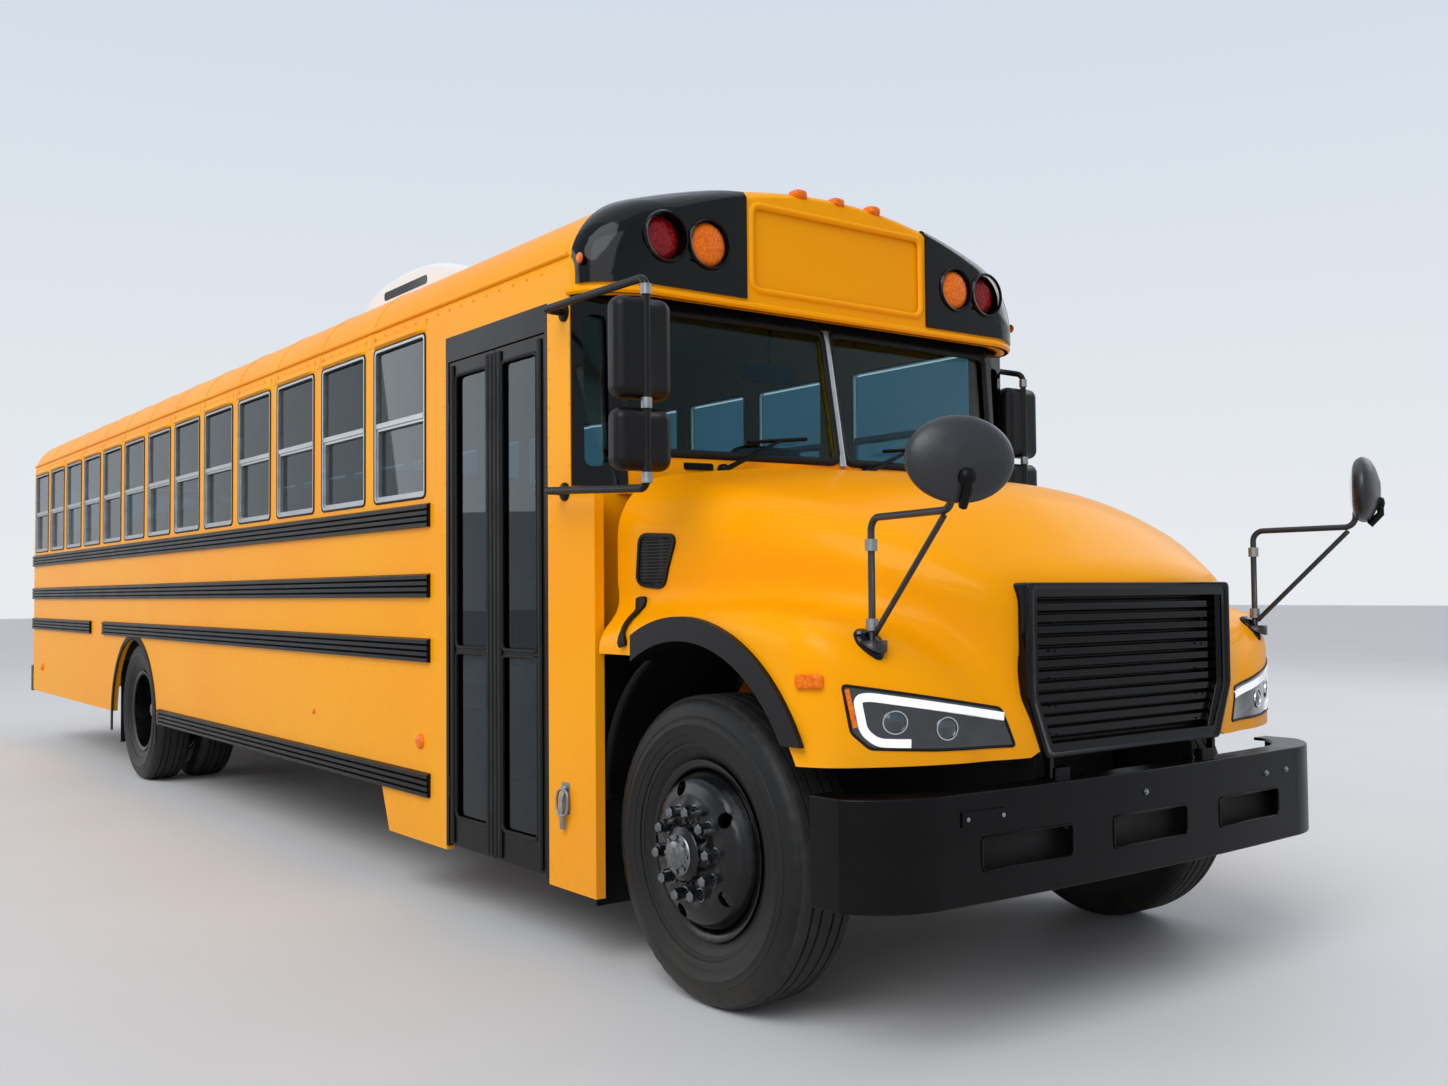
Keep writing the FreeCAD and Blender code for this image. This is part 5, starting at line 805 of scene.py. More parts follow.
def trimmed(placed, profile, **options):
    """A profile carried along points laid on the nose, square to it."""
    return carried(placed[0], profile, placed[1], **options)


def cut_away(made, *shapes):
    """Takes solids out of a piece with Boolean steps and keeps the result as its mesh."""
    tools = [make(f"cutter_{number}", shape, made.data.materials[0]) for number, shape in enumerate(shapes)]
    for tool in tools:
        step = made.modifiers.new("cut", "BOOLEAN")
        step.operation, step.solver, step.object = "DIFFERENCE", "EXACT", tool
    result = bpy.data.meshes.new_from_object(made.evaluated_get(bpy.context.evaluated_depsgraph_get()))
    made.modifiers.clear()
    made.data = result
    for tool in tools:
        bpy.data.objects.remove(tool)
    shade(result, 38)


def side_box(low, high):
    """A box right across the bus, from its corners (x, z) behind and ahead."""
    return extruded(lift([low, (high[0], low[1]), high, (low[0], high[1])], 1, -1.5), (0, 3.0, 0))


GRILLE_EDGE = mm(-470, 862, 470, 862, 545, 1050, 545, 1410, -545, 1410, -545, 1050)
LAMP_EDGE = mm(-589, 907, -879, 911, -1066, 921, -1114, 970, -1135, 1112, -636, 1026)
round_angle = np.radians(np.linspace(-24, 204, ARC))
tip = np.radians(np.linspace(0, 74, 60))[1:, None]
level_x = AXLE + np.linspace(-0.541, 0.36, 46)[:, None]
starts = np.concatenate([np.stack(np.broadcast_arrays(x, 0.0, RAY_AXIS_Z), -1)
                         for x in (level_x, np.full_like(tip, FENDER_TIP))])
lean = np.concatenate([np.zeros_like(level_x), tip])
rays = np.stack(np.broadcast_arrays(np.sin(lean), np.cos(lean) * np.cos(round_angle),
                                    np.cos(lean) * np.sin(round_angle)), -1)
hood_points = meet_nose(starts, rays)
hood = make("hood_moulding", (hood_points, grid(len(rays), ARC)), yellow, solid=0.012)
low_grille = [(-0.47, 0.8), (0.47, 0.8), *GRILLE_EDGE[1:], GRILLE_EDGE[0]]
cut_away(hood, extruded(lift(oval(FRONT_ARCH, 96) + (AXLE, FRONT_ARCH_Z), 1, -1.5), (0, 3.0, 0)),
         side_box((AXLE - 0.7, 0.5), (AXLE, 1.17)), side_box((AXLE - 0.02, 0.3), (AXLE + 1.2, 0.866)),
         extruded(lift(low_grille, 0, AXLE + 0.55), (0.6, 0, 0)),
         *[extruded(lift(LAMP_EDGE * (way, 1), 0, AXLE + 0.45), (0.7, 0, 0)) for way in (1, -1)])
carry(hood, "hood", "body_yellow", "hood_shell")

# Wheel liners: black moulded arches under the fenders, and rubber splash sheets on the
# firewall behind the front wheels.
liner_turn = np.radians(np.linspace(24, 180, 40))
liner_radius = FRONT_ARCH - 0.012
liner_line = np.stack([AXLE + liner_radius * np.cos(liner_turn),
                       FRONT_ARCH_Z + liner_radius * np.sin(liner_turn)], -1)
arches = np.stack([lift(liner_line, 1, y) for y in np.linspace(-1.165, -0.62, 12)])
piece("wheel_liners", twin((arches, grid(12, 40))), grained_black, "hood", "moulded_black", smooth=60, solid=0.003)
sheet = extruded(framed((-1.165, 0.5), (-0.55, 1.17), 0.03, 0, AXLE - 0.636), (0.004, 0, 0))
piece("splash_sheets", twin(sheet), rubber, "coach", "rubber_sheet")


# Hood vents: a screen of black expanded metal on each cheek of the hood, held in a moulded
# plastic frame; its holes are painted near black as the shade behind them.
def woven(name, wire, shade_gap, pitch):
    """Black wire screen: the larger of two crossed waves is wire; the rest is the holes, coloured near black as
    painted shade.
    """
    made, tree, place = new_material(name, Specular_IOR_Level=0.3)
    waves = [add(tree, "TexWave", {"Vector": place, "Scale": 0.3142 / pitch}, bands_direction=way).outputs["Fac"]
             for way in ("X", "Y", "Z")]
    both = add(tree, "Math", {0: waves[0], 1: waves[1]}, operation="MULTIPLY").outputs[0]
    crossed = add(tree, "Math", {0: both, 1: waves[2]}, operation="MAXIMUM").outputs[0]
    share = add(tree, "MapRange", {"Value": crossed, "From Min": 0.6, "From Max": 0.85}).outputs["Result"]
    # the holes' near-black colour is painted shade
    tone = add(tree, "Mix", {"Factor": share, "A": linear(shade_gap), "B": linear(wire)}, data_type="RGBA")
    polish = add(tree, "MapRange", {"Value": share, "To Min": 0.8, "To Max": 0.42}).outputs["Result"]
    feed(tree, tone.outputs["Result"], polish, share, 0.002)
    return made


screen_with_painted_shade = woven("black_expanded_metal_shaded_holes", "#262628", "#020202", 0.012)
vent_corners = mm(-431, 1424, -300, 1410, -229, 1592, -415, 1602) + (AXLE, 0)
vent_edge = divided(bent(vent_corners, 0.035, 6, closed=True), 0.03)
vent_frame = trimmed(on_cheek(vent_edge, 0.001), mm(-8, -3, 10, -3, 7, 8, -5, 8), closed=True)
middle = vent_edge.mean(0)
vent_rows = [on_cheek(middle + (vent_edge - middle) * share, 0.003)[0] for share in np.linspace(0, 1, 9)]
piece("vent_frames", twin(vent_frame), grained_black, "hood", "moulded_black", smooth=40)
piece("vent_screens", twin(shell(vent_rows)), screen_with_painted_shade, "hood", "moulded_black", smooth=60)

# Hood latches: a black rubber strap each side, moulded wide at its ends for the bolts and the
# grip, stretched over the joint between hood and cowl.
strap_line = on_cheek(np.linspace((AXLE - 0.41, 1.372), (AXLE - 0.365, 1.2), 12), 0.012)
strap_width = np.interp(np.linspace(0, 1, 12), [0, 0.15, 0.3, 0.75, 0.88, 1.0], [1.5, 1.7, 0.8, 0.75, 1.5, 1.2])
strap = trimmed(strap_line, section(14, -8, 16, 2, 8, 9), swell=strap_width)
piece("hood_latches", twin(strap), rubber, "hood", "rubber_sheet", bevel=0.002)

# Headlamps: a smoked housing with a glossy face, two projector lenses in rings, a lit white
# guide bent round three sides and an amber strip along the outer edge.
lamp_dark = blotched("smoked_lamp_interior", ("#0A0C0E", "#22262A"), 0.05, (0.08, 0.16), Coat_Weight=1.0,
                     Coat_Roughness=0.02)
light_guide = blotched("lit_white_light_guide", ("#F4F7FA", "#FFFFFF"), 0.05, (0.15, 0.25), Coat_Weight=0.8,
                       Emission_Color=linear("#F4F8FF"), Emission_Strength=0.3)
chrome = blotched("chromed_trim", ("#B9BDC1", "#CFD2D5"), 0.03, (0.06, 0.12), Metallic=1.0)
lens_glass = blotched("projector_lens_glass", ("#10151A", "#2C3A45"), 0.02, (0.02, 0.05), Coat_Weight=1.0)
lamp_ring = divided(bent(LAMP_EDGE, 0.012, 5, closed=True), 0.03)
middle = lamp_ring.mean(0)
lamp_rows = [on_nose(middle + (lamp_ring - middle) * share, -0.0005)[0]
             for share in (0.995, 0.93, 0.8, 0.6, 0.4, 0.2, 0.04)]
housing = shell([lamp_rows[0] - (0.09, 0, 0), *lamp_rows], 0, -1)
piece("headlamp_housings", twin(housing), lamp_dark, "hood", "headlamp_lens", "headlamps", smooth=40)
guide_line = divided(bent(mm(-628, 1000, -800, 1030, -1070, 1076, -1098, 1070, -1082, 972, -1045, 938, -975,
                             934, -878, 932), 0.022, 6), 0.03)[:-9]
guide = trimmed(on_nose(guide_line, 0.0015), section(13.5, -2, 12, 3))
piece("light_guides", twin(guide), light_guide, "hood", "headlamp_lens", smooth=40)
strip = trimmed(on_nose(np.linspace((-1.1245, 1.1), (-1.1035, 0.985), 10), 0.0015), section(8, -2, 7, 3))
piece("amber_strips", twin(strip), amber, "hood", "lamp_lens", smooth=40)
BULB, BULGE = 0.031, 0.007
rings, domes = [], []
for centre in ((-0.997, 0.998), (-0.839, 0.974)):
    rings.append(trimmed(on_nose(oval(0.034, 36) + centre, 0.001), section(3, -2, 2, 3), closed=True))
    dome_rows = [on_nose(oval(reach, 30) + centre, BULGE * (1 - (reach / BULB) ** 2))[0]
                 for reach in np.linspace(0, BULB, 8)]
    domes.append(shell(dome_rows))
piece("projector_rings", twin(gather(*rings)), chrome, "hood", "headlamp_lens", smooth=60)
piece("projector_lenses", twin(gather(*domes)), lens_glass, "hood", "headlamp_lens", smooth=60)
lamp_seal = trimmed(on_nose(lamp_ring, 0.0005), oval(0.0045, 6), closed=True)
piece("headlamp_seals", twin(lamp_seal), rubber, "hood", "rubber_sheet", smooth=60)

# Fender markers: an amber acrylic lens with a chamfered rim on each fender's shoulder, seated
# straight on the moulding.
marker_foot, marker_up = on_cheek(rounded((AXLE + 0.582, 1.1), (AXLE + 0.658, 1.143), 0.012))
marker_top = marker_foot + marker_up * 0.014
marker_face = marker_top.mean(0) + (marker_top - marker_top.mean(0)) * 0.82 + marker_up * 0.004
piece("fender_markers", twin(shell([marker_foot, marker_top, marker_face], -1)), amber, "hood", "lamp_lens",
      smooth=35)

# Radiator screen: black woven mesh behind the grille, a closed sheet with its holes painted near black as shade,
# so that nothing shows through it, a deep moulded surround and the clips that hold the bars.
mesh_edge = GRILLE_EDGE * 0.985 + (0, 0.016)
screen = extruded(lift(mesh_edge, 0, AXLE + 0.834), (0.004, 0, 0))
piece("radiator_screen", screen, screen_with_painted_shade, "hood", "moulded_black")
deep_edge = bent(GRILLE_EDGE, 0.02, 4, closed=True)
middle = deep_edge.mean(0)
deep_rows = [lift(middle + (deep_edge - middle) * share, 0, AXLE + x) for share, x in (
    (1.012, 0.842), (1.014, 0.90), (1.006, 0.914), (0.985, 0.917), (0.93, 0.908), (0.9, 0.894), (0.895, 0.842))]
piece("grille_surround", (np.concatenate(deep_rows), grid(7, len(deep_edge), True, True)), gloss_black, "hood",
      "lamp_black", bevel=0.002)
clip_spots = [(AXLE + 0.893, y, z) for y in (-0.4, 0.4) for z in np.arange(0.93, 1.36, 0.088)]
clip = lathe(mm(0, 4, 5, 3.8, 7, 0), steps=8)
piece("grille_clips", repeated(clip, clip_spots), satin_black, "hood", "lamp_black", smooth=50)


# Front bumper: a dark sheet behind its three slots, painted shade that fills them, a bolted plate beside the right
# slot, headed bolts through the face and a rolled rim round each slot.
def on_bumper(flat, proud=0.0):
    """Flat points (y, z) on the bumper's face, a circular sweep that falls back 30 mm over 0.919 m."""
    flat = np.asarray(flat, float)
    return np.column_stack([AXLE + 0.959 - 0.03 * (flat[:, 0] / 0.919) ** 2 + proud, flat])


# painted shade: a dark sheet set behind the slots so that they read as shaded openings
slot_shade_sheet = carried(on_bumper(np.linspace((-0.9, 0.605), (0.9, 0.605), 31), -0.06), section(2, -90, 2, 90))
piece("bumper_slot_shade_sheet", slot_shade_sheet, chassis_paint, "coach", "chassis_black")
plate = carried(on_bumper(np.linspace((-0.883, 0.715), (-0.694, 0.715), 9), 0.003), section(3, -22, 3, 22))
piece("tow_plate", plate, satin_black, "coach", "trim_black", bevel=0.0015)
bolt = lathe(mm(0, 11, 2, 11, 2, 7.5, 7, 7.5, 8, 6, 8, 0), steps=6)
bolt_spots = mm(-860, 715, -715, 715, -30, 720, 715, 715, 860, 715)
piece("bumper_bolts", repeated(bolt, on_bumper(bolt_spots, 0.001)), galvanised, "coach", "trim_black", smooth=30)
slots = [divided(rounded((low, 0.555), (low + 0.4, 0.655), 0.02), 0.05) for low in (-0.8, -0.2, 0.4)]
slot_rims = [bead(on_bumper(slot, 0.0005), 0.004, X) for slot in slots]
piece("slot_rims", gather(*slot_rims), satin_black, "coach", "trim_black", smooth=60)

# Mirrors: bright clamps on the tubes, bolted feet, and convex silvered glass behind each head.
silvered = blotched("silvered_mirror_glass", ("#C9CED2", "#D6DADD"), 0.3, (0.015, 0.03), Metallic=1.0)
clamp_line = mm(-18, 14.5, -18, 19, 18, 19, 18, 14.5)
MIRROR_Y, MIRROR_HALF = 1.3395, 0.09
clamps, feet, panes = [], [], []
for side, head_x in ((-1, AXLE - 0.12), (1, AXLE - 0.78)):
    clamps += [lathe(clamp_line, (head_x + MIRROR_HALF, side * MIRROR_Y, z), 2, 14) for z in (2.025, 1.775, 2.408)]
    feet += [lathe([(0.0, 0.036), (side * 0.006, 0.036), (side * 0.012, 0.028), (side * 0.014, 0.0)],
                   (AXLE - 0.772, side * (SIDE + 0.0005), z), 1, 16) for z in (2.47, 1.78)]
    for low, high in ((2.055, 2.37), (1.815, 1.995)):
        middle = np.array((side * MIRROR_Y, (low + high) / 2))
        edge = rounded(middle - (MIRROR_HALF, (high - low) / 2), middle + (MIRROR_HALF, (high - low) / 2), 0.03, 6)
        panes.append(shell([lift((edge - middle) * share + middle, 0, head_x + 0.001 - 0.006 * (1 - share ** 2))
                            for share in (1.0, 0.8, 0.5, 0.02)], -1, 0))
piece("mirror_clamps", gather(*clamps), galvanised, "coach", "steel_grey", smooth=40)
piece("mirror_feet", gather(*feet), satin_black, "coach", "moulded_black", smooth=50)
piece("mirror_panes", gather(*panes), silvered, "coach", "aluminium", smooth=40)

# Crossover mirrors: teardrop feet bolted to the fenders, clamps on the posts, ball joints and
# oval glass in the backs of the heads.
HEAD_TURN = math.radians(-25)
HEAD_AT = (AXLE + 1.135, -1.087, 1.752)
circle = oval(1.0, 36)
teardrop = circle * np.column_stack([0.046 + 0.026 * np.clip(circle[:, 0], 0, 1) ** 3, np.full(36, 0.044)])
foot_middle = meet_nose([(AXLE + 0.7, -1.03, 0.95)], Z)
foot_up = nose_normal(foot_middle)
foot_side = np.cross(foot_up, X)
foot_side /= np.linalg.norm(foot_side)
foot_ahead = np.cross(foot_side, foot_up)


def on_foot(flat, proud):
    """Flat points (ahead, side) round the foot's middle, dropped on the fender along its normal."""
    spread = foot_middle + np.outer(flat[:, 0], foot_ahead[0]) + np.outer(flat[:, 1], foot_side[0])
    return meet_nose(spread - 0.12 * foot_up, foot_up) + proud * foot_up


def spun(points):
    """Points turned outward with the mirror's head, about an upright axis."""
    x, y, z = np.moveaxis(points, -1, 0)
    return np.stack([x * math.cos(HEAD_TURN) - y * math.sin(HEAD_TURN),
                     x * math.sin(HEAD_TURN) + y * math.cos(HEAD_TURN), z], -1)


pad = shell([on_foot(teardrop * share, rise) for share, rise in (
    (1.06, -0.006), (1.04, 0.004), (0.98, 0.009), (0.7, 0.014), (0.3, 0.018), (0.02, 0.019))], 0, -1)
piece("crossover_feet", twin(pad), gloss_black, "hood", "moulded_black", smooth=50)
foot_bolt = lathe(mm(-4, 7, 4, 7, 5, 0), axis=2, steps=8)
foot_bolts = repeated(foot_bolt, on_foot(mm(45, 0, -22, 28, -22, -28), 0.016))
post_clamps = [lathe(clamp_line, (AXLE + 0.719, -1.03, z), 2, 14) for z in (1.29, 1.53)]
piece("crossover_clamps", twin(gather(foot_bolts, *post_clamps)), galvanised, "hood", "steel_grey", smooth=40)
ball = lathe(mm(30, 0, 34, 26, 56, 26, 70, 18, 74, 0), (0, 0, -0.035), steps=18)
neck = carried([(0.056, 0.0, -0.035), (0.058, 0.0, -0.075), (0.02, 0.0, -0.115)], oval(0.013, 10), Y)
knuckle, knuckle_faces = gather(ball, neck)
knuckle = spun(knuckle) + HEAD_AT - (0, 0, 0.017)
piece("crossover_knuckles", twin((knuckle, knuckle_faces)), satin_black, "hood", "moulded_black", smooth=50)
glass = shell([spun(lift(circle * (0.16 * share, 0.122 * share), 0, behind)) + HEAD_AT - (0.0015, 0, 0)
               for behind, share in ((-0.0425, 0.02), (-0.0428, 0.2), (-0.041, 0.45), (-0.034, 0.68),
                                     (-0.031, 0.76), (-0.0295, 0.79))])
piece("crossover_panes", twin(glass), silvered, "hood", "aluminium", smooth=60)

# Side fittings: round amber reflectors and markers, and the door's release ring on its latch
# below the right cowl panel.
round_lamp = mm(0, 34, 8, 34, 14, 28, 17, 14, 18, 0)
side_lamps = [lathe(round_lamp * (-size, size), (x, y, z), 1, 18) for x, y, z, size in (
    (AXLE - 2.075, -SIDE, 0.722, 1.0), (AXLE - 3.43, -SIDE, 0.771, 0.45), (TAIL + 0.5, -SIDE, 0.722, 1.0),
    (AXLE - 0.66, -1.2155, 2.66, 0.6))]
piece("side_markers", twin(gather(*side_lamps)), amber, "coach", "lamp_lens", smooth=50)
latch = np.array((AXLE - 0.774, 0.0, 0.6))
ring = bead(bent(latch + [(-0.04, -1.235, 0.05), (0.04, -1.235, 0.05), (0.04, -1.24, -0.05), (-0.04, -1.24, -0.05)],
                 0.04, 8, closed=True), 0.0055, Y, 8)
catch = carried(latch + [(0, -1.222, 0.06), (0, -1.24, 0.01), (0, -1.236, -0.1)], section(13, -5, 11, 6), -Y)
catch_plate = extruded(latch + framed((-0.028, -0.045), (0.028, 0.075), 0.012, 1, -SIDE + 0.001), (0, -0.005, 0))
piece("door_release", gather(ring, catch, catch_plate), galvanised, "coach", "steel_grey", bevel=0.001)

# Stop arm: a red reflective sheet in a white border, with a lamp above and below, screwed to
# the swinging blade and left blank.
red_sheet = blotched("red_reflective_sheeting", ("#A80F10", "#B81514"), 0.3, (0.3, 0.4), 0.0003, 0.004)
dress(red_sheet, "stop_arm")
STOP_HALF, STOP_Y, STOP_Z = 0.2285, SIDE + 0.076, 1.59
stop_x = AXLE - 2.14 - STOP_HALF
eighths = np.arange(8) * math.pi / 4 + math.pi / 8
eight = np.stack([np.cos(eighths), np.sin(eighths)], -1) * STOP_HALF / math.cos(math.pi / 8)
edging = band(*[lift(eight * share + (stop_x, STOP_Z), 1, STOP_Y) for share in (0.985, 0.9)], (0, 0.0012, 0))
piece("stop_border", edging, white_gloss, "stop_sign_arm", "stop_red")
stop_lamp = lathe(mm(0, 42, 10, 42, 20, 34, 25, 16, 26, 0), axis=1)
stop_lamps = repeated(stop_lamp, [(stop_x, STOP_Y, STOP_Z + rise) for rise in (-0.135, 0.135)])
piece("stop_lamps", stop_lamps, red_lens, "stop_sign_arm", "lamp_lens", smooth=50)

# Wheels: black enamelled disc rims, ten long nuts on washers round each raised hub and a
# bolted hub cap; the rear hub and nuts stand inside the outer rim's dish.
wheel_black = blotched("black_wheel_enamel", ("#060607", "#0C0C0D"), 0.12, (0.18, 0.3), 0.0002, 0.006,
                       Specular_IOR_Level=0.35)
dark_chrome = blotched("oxidised_chrome", ("#5F6163", "#7D7F81"), 0.02, (0.18, 0.32), Metallic=1.0)
WHEEL_Z, REAR_AXLE, NUTS, NUT_RING, CAP_RING = 0.522, -2.23, 10, 0.1429, 0.058
nut_turn = np.arange(NUTS) * 2 * math.pi / NUTS + 0.1
nut_spots = NUT_RING * np.stack([np.cos(nut_turn), np.sin(nut_turn)], -1)
long_nut = gather(lathe(mm(-2, 24, 3, 24, 4, 19.5), axis=1, steps=16),
                  lathe(mm(3, 18.8, 46, 18.8, 52, 14, 54, 0), axis=1, steps=6))
small_bolt = lathe(mm(0, 8, 6, 8, 7, 0), axis=1, steps=6)
cap_line = mm(-20, 70, 4, 70, 8, 66, 10, 50, 20, 45, 26, 30, 27, 0)
for label, x, hub_y, disc_y, body, rim in (("front", AXLE, 1.243, 1.195, "front_wheel", "rim_front"),
                                           ("rear", REAR_AXLE, 1.065, 0.88, "rear_wheels", "rims_rear")):
    nuts = gather(repeated(long_nut, lift(nut_spots, 1, disc_y)))
    hub_cap = gather(lathe(cap_line, (0, hub_y, 0), 1, 32),
                     repeated(small_bolt, lift(oval(CAP_RING, 8), 1, hub_y + 0.008)))
    for word, side in (("left", 1), ("right", -1)):
        softened(f"{label}_rims_{word}", f"{rim}_{word}", wheel_black, f"{body}_{word}", "wheel_black", angle=32)
        for part, (points, faces) in (("nuts", nuts), ("hub_cap", hub_cap)):
            piece(f"{label}_{part}_{word}", (points * (1, side, 1) + (x, 0, WHEEL_Z), faces), dark_chrome,
                  f"{body}_{word}", "wheel_black", smooth=30)

# Rear arch trims: a band of black rubber round each rear wheel opening, gripping the cut edge
# of the wall.
ARCH, ARCH_Z, ARCH_FOOT = 0.655, 0.43, 0.33
arch_turn = np.linspace(0, math.pi, 33)
arch_line = np.stack([REAR_AXLE + ARCH * np.cos(arch_turn), ARCH_Z + ARCH * np.sin(arch_turn)], -1)
arch_line = np.concatenate([[(REAR_AXLE + ARCH, ARCH_FOOT)], arch_line, [(REAR_AXLE - ARCH, ARCH_FOOT)]])
arch_trim = carried(lift(arch_line, 1, -SIDE), mm(-22, -2, 24, -2, 24, 5, 8, 11, -18, 8), -Y)
piece("rear_arch_trims", twin(arch_trim), rubber, "coach", "rubber_sheet", smooth=50)


# Tyres: moulded rubber carcass with four tread grooves, a ribbed shoulder cut by sipes and
# concentric ribs round the sidewall, where the blank decorated band of a real tyre is.
def tyre_rubber(name):
    """Tyre rubber: near-black, greyer with dust towards the tread, with a fine moulded grain."""
    made, tree, place = new_material(name, Specular_IOR_Level=0.3)
    broad = add(tree, "TexNoise", {"Vector": place, "Scale": 9.0, "Detail": 6.0, "Roughness": 0.7}).outputs["Fac"]
    black = add(tree, "Mix", {"Factor": broad, "A": linear("#070707"), "B": linear("#111110")}, data_type="RGBA")
    dusty = dust(tree, place, broad, 0.35, 0.0)
    tone = add(tree, "Mix", {"Factor": dusty, "A": black.outputs["Result"], "B": linear("#6D655A")},
               data_type="RGBA").outputs["Result"]
    polish = add(tree, "MapRange", {"Value": broad, "To Min": 0.42, "To Max": 0.6}).outputs["Result"]
    grain = add(tree, "TexNoise", {"Vector": place, "Scale": 300.0, "Detail": 2.0}).outputs["Fac"]
    feed(tree, tone, polish, grain, 0.0006, 0.6)
    return made


TREAD_FROM, STEPS = 0.509, 192
tread_rubber = tyre_rubber("tyre_wall_rubber")
worn_rubber = blotched("worn_tread_rubber", ("#1C1B1A", "#2E2C29"), 0.06, (0.6, 0.75), 0.001, 0.006,
                       Specular_IOR_Level=0.3)


def tyre(name, side, axle_x, places, *riding):
    """Tyres on an axle; faces whose middle is over 0.509 m from it touch the road and get the worn rubber."""
    made = make(name, gather(*[lathe(profile, (axle_x, side * y, WHEEL_Z), 1, STEPS, ripple) for y in places]),
                tread_rubber, smooth=42)
    mesh = made.data
    mesh.materials.append(worn_rubber)
    middles = np.empty(len(mesh.polygons) * 3)
    mesh.polygons.foreach_get("center", middles)
    reach = np.hypot(middles[::3] - axle_x, middles[2::3] - WHEEL_Z)
    mesh.polygons.foreach_set("material_index", (reach > TREAD_FROM).astype(np.int32))
    carry(made, *riding)


sidewall = mm(88, 286.8, 92, 302, 98.5, 312.5, 106, 321, 112.5, 333, 118, 346.5, 120.5, 347.5, 121.5, 352,
              122.5, 363.5, 126, 364.5, 127.5, 369, 132.5, 390, 134.5, 391, 135.5, 395, 138.5, 420, 139.5, 421.5,
              139.5, 426, 138.5, 427.5, 137.5, 444, 139, 445.5, 138.5, 450, 135.5, 452, 131, 472, 126.5, 487,
              119, 500, 109, 509.5, 101, 515.5, 94, 519)
groove = mm(5.2, 521.5, 3.6, 510.5, -3.6, 510.5, -5.2, 521.5)
half = np.concatenate([sidewall, *[groove + (middle_y, 0) for middle_y in (0.066, 0.026)]])
profile = np.concatenate([half, half[::-1] * (-1, 1), mm(-60, 286.2, 0, 286.2, 60, 286.2)])
shoulder = np.arange(23, 27)
ripple = np.zeros((len(profile), STEPS))
ripple[np.concatenate([shoulder, 2 * len(half) - 1 - shoulder])] = np.where(np.arange(STEPS) % 4 < 1, -0.0032, 0.0)
for word, side in (("left", 1), ("right", -1)):
    tyre(f"front_tread_{word}", side, AXLE, [1.03], f"front_wheel_{word}", "tyre_rubber", f"tyre_front_{word}")
    tyre(f"rear_treads_{word}", side, REAR_AXLE, [1.045, 0.7147], f"rear_wheels_{word}", "tyre_rubber",
         f"tyres_rear_{word}")

# Seats: sprung bench cushions and high backs in black vinyl over foam, crowned between their
# corners, with a welt sewn round each and five sewn channels down each back.
seat_vinyl, welt_vinyl = (cellular(name, colours, 0.006, (0.34, 0.52), 0.0008, 0.6, drift=3.0, Sheen_Weight=0.15,
                                   Sheen_Roughness=0.4)
                          for name, colours in (("black_seat_vinyl", ("#14161A", "#23262C")),
                                                ("black_welt_vinyl", ("#0D0E11", "#16181C"))))


def power(value, bend):
    """A value's size raised to a power, with its sign kept."""
    return np.sign(value) * np.abs(value) ** bend


def padded_box(low, high, pull=0.0042, crown=0.014, channels=0, rows=26, cols=34, share=0.22):
    """A cushion: a superellipsoid shell |x|^p + |y|^p + |z|^p = 1 filling a box, its faces crowned
    outward in the middle and its sides drawn in between the corners, with sewn channels across."""
    low, high = np.asarray(low, float), np.asarray(high, float)
    tilt = np.linspace(-math.pi / 2, math.pi / 2, rows)[:, None]
    turn = (np.arange(cols * 2) * math.pi / cols)[None]
    unit = np.stack([power(np.cos(tilt), share) * power(np.cos(turn), share),
                     power(np.cos(tilt), share) * power(np.sin(turn), share),
                     power(np.sin(tilt), share) + 0 * turn], -1)
    points = unit * ((high - low) / 2 - crown)
    hollow = 1 - unit ** 2
    for axis in range(3):
        first, second = np.moveaxis(np.delete(hollow, axis, -1), -1, 0)
        points[..., axis] += power(unit[..., axis], 3) * (crown * first * second
                                                          + pull * np.clip(first + second - 1, -1, 0))
    for spot in np.arange(1, channels + 1) / (channels + 1) * 2 - 1:
        points[..., 0] -= power(unit[..., 0], 3) * 0.009 * np.exp(-((unit[..., 1] - spot) / 0.022) ** 2)
    return points + (high + low) / 2, grid(rows, cols * 2, False, True)


def welt(low, high, axis, level):
    """A sewn cord round a cushion's face: half |cos a|^0.22 and half |sin a|^0.22, set in from its edges."""
    low, high = np.delete(low, axis), np.delete(high, axis)
    ring = (low + high) / 2 + power(oval(1.0, 72), 0.22) * ((high - low) / 2 - 0.023)
    return bead(lift(ring, axis, level), 0.0045, np.eye(3)[axis])


BASE, REST = ((-0.4, 0.175, 1.33), (0.0, 1.165, 1.46)), ((-0.51, 0.175, 1.34), (-0.4, 1.165, 2.05))
bench_places = [(AXLE - 2.5 - BAY * index, 0, 0) for index in range(12)]
cushion, rest = padded_box(*BASE), padded_box(*REST, channels=5, cols=46)
driver_pad = padded_box((AXLE - 1.72, 0.33, 1.4), (AXLE - 1.26, 0.83, 1.5))
driver_rest = padded_box((AXLE - 1.83, 0.33, 1.4), (AXLE - 1.72, 0.83, 2.15), channels=3)
seat_forms = piece("bench_cushions", gather(twin(repeated(cushion, bench_places)), driver_pad), seat_vinyl, "coach",
                   "seat_vinyl", "seat_cushions", smooth=70)
rest_forms = piece("bench_backs", gather(twin(repeated(rest, bench_places)), driver_rest), seat_vinyl, "coach",
                   "seat_vinyl", "seat_backs", smooth=70)
cords = [welt(*BASE, 2, 1.437), gather(*[welt(*REST, 0, x) for x in (-0.49, -0.42)])]
welts = twin(gather(*[repeated(cord, bench_places) for cord in cords]))
piece("seat_welts", welts, welt_vinyl, "coach", "seat_vinyl", smooth=60)

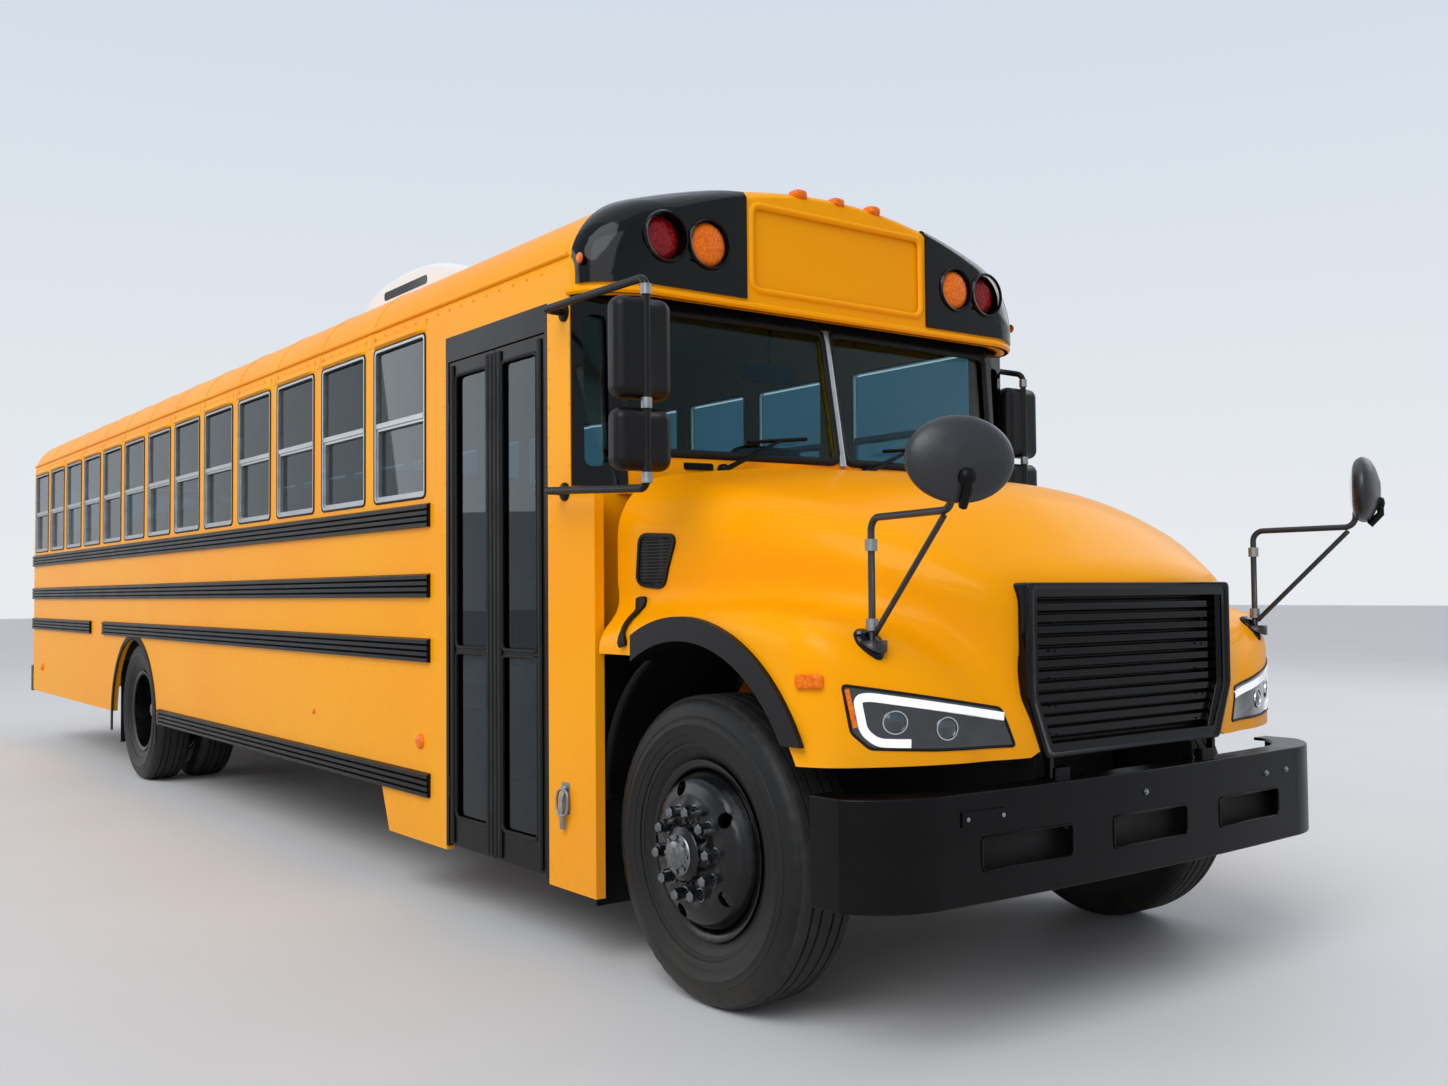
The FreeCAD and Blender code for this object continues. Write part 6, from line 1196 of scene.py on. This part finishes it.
# Tail: gaskets round the rear windows and the emergency door's panes, its handle, bezels and
# lenses on the tail lamps, and a blank plate.
TAIL_FACE = TAIL - 0.001
for name, body, openings in (
        ("rear_window_beads", "coach", (((-1.01, 1.92), (-0.59, 2.48)), ((0.59, 1.92), (1.01, 2.48)))),
        ("rear_door_beads", "emergency_door", (((-0.352, 1.9), (0.352, 2.452)), ((-0.352, 1.18), (0.352, 1.64))))):
    beads = gather(*[bead(framed(low, high, 0.05, 0, TAIL_FACE), 0.011, X, 8, 0.6) for low, high in openings])
    piece(name, beads, rubber, body, "rubber_sheet", smooth=60)
handle = carried(bent([(TAIL - 0.002, 0.3, 1.75), (TAIL - 0.05, 0.3, 1.75), (TAIL - 0.05, 0.08, 1.75),
                       (TAIL - 0.002, 0.08, 1.75)], 0.03, 6), oval(0.011, 10))
bosses = [lathe(mm(0, 28, -6, 28, -8, 0), (TAIL, y, 1.75), steps=16) for y in (0.3, 0.08)]
piece("rear_door_handle", gather(handle, *bosses), steel_polish, "emergency_door", "steel_grey", smooth=50)
tail_line = mm(0, 96, -12, 105, -22, 103, -26, 94, -23.5, 91.5, 0, 92)
red_line = mm(0, 89.5, -22.5, 89.5, -30, 85, -36, 65, -38, 30, -38.5, 0)
tail_places = [(TAIL, -1.0, 1.45), (TAIL, -1.0, 1.23), (TAIL, -0.9, 2.7), (TAIL, -0.69, 2.7)]
rings = gather(*[lathe(tail_line * (1, 0.98 if place[2] > 2 else 1), place, steps=36)
                 for place in tail_places])
piece("tail_bezels", twin(rings), gloss_black, "coach", "lamp_black", "marker_lamps", smooth=40)
for label, finish, chosen in (("red", red_lens, tail_places[::2]), ("amber", amber, tail_places[1::2])):
    lenses = [lathe(red_line, place, steps=36) for place in chosen]
    backs = [extruded(lens[0][0], (0.0005, 0, 0)) for lens in lenses]
    piece(f"tail_lenses_{label}", twin(gather(*lenses, *backs)), finish, "coach", "lamp_lens", "marker_lamps",
          smooth=50)
plate = extruded(framed((0.52, 1.04), (0.84, 1.2), 0.012, 0, TAIL_FACE), (-0.0025, 0, 0))
piece("blank_plate", plate, white_gloss, "coach", "white_paint")

# Clearance lamps: three low amber acrylic domes along the top of the front cap, screwed down
# over their lamps.
domes = [padded_box((AXLE - 0.606, y - 0.037, 3.024), (AXLE - 0.53, y + 0.037, 3.072), 0.0, 0.004, rows=14, cols=18,
                    share=0.55) for y in (-0.21, 0.0, 0.21)]
piece("clearance_lamps", gather(*domes), amber, "coach", "lamp_lens", "marker_lamps", smooth=60)
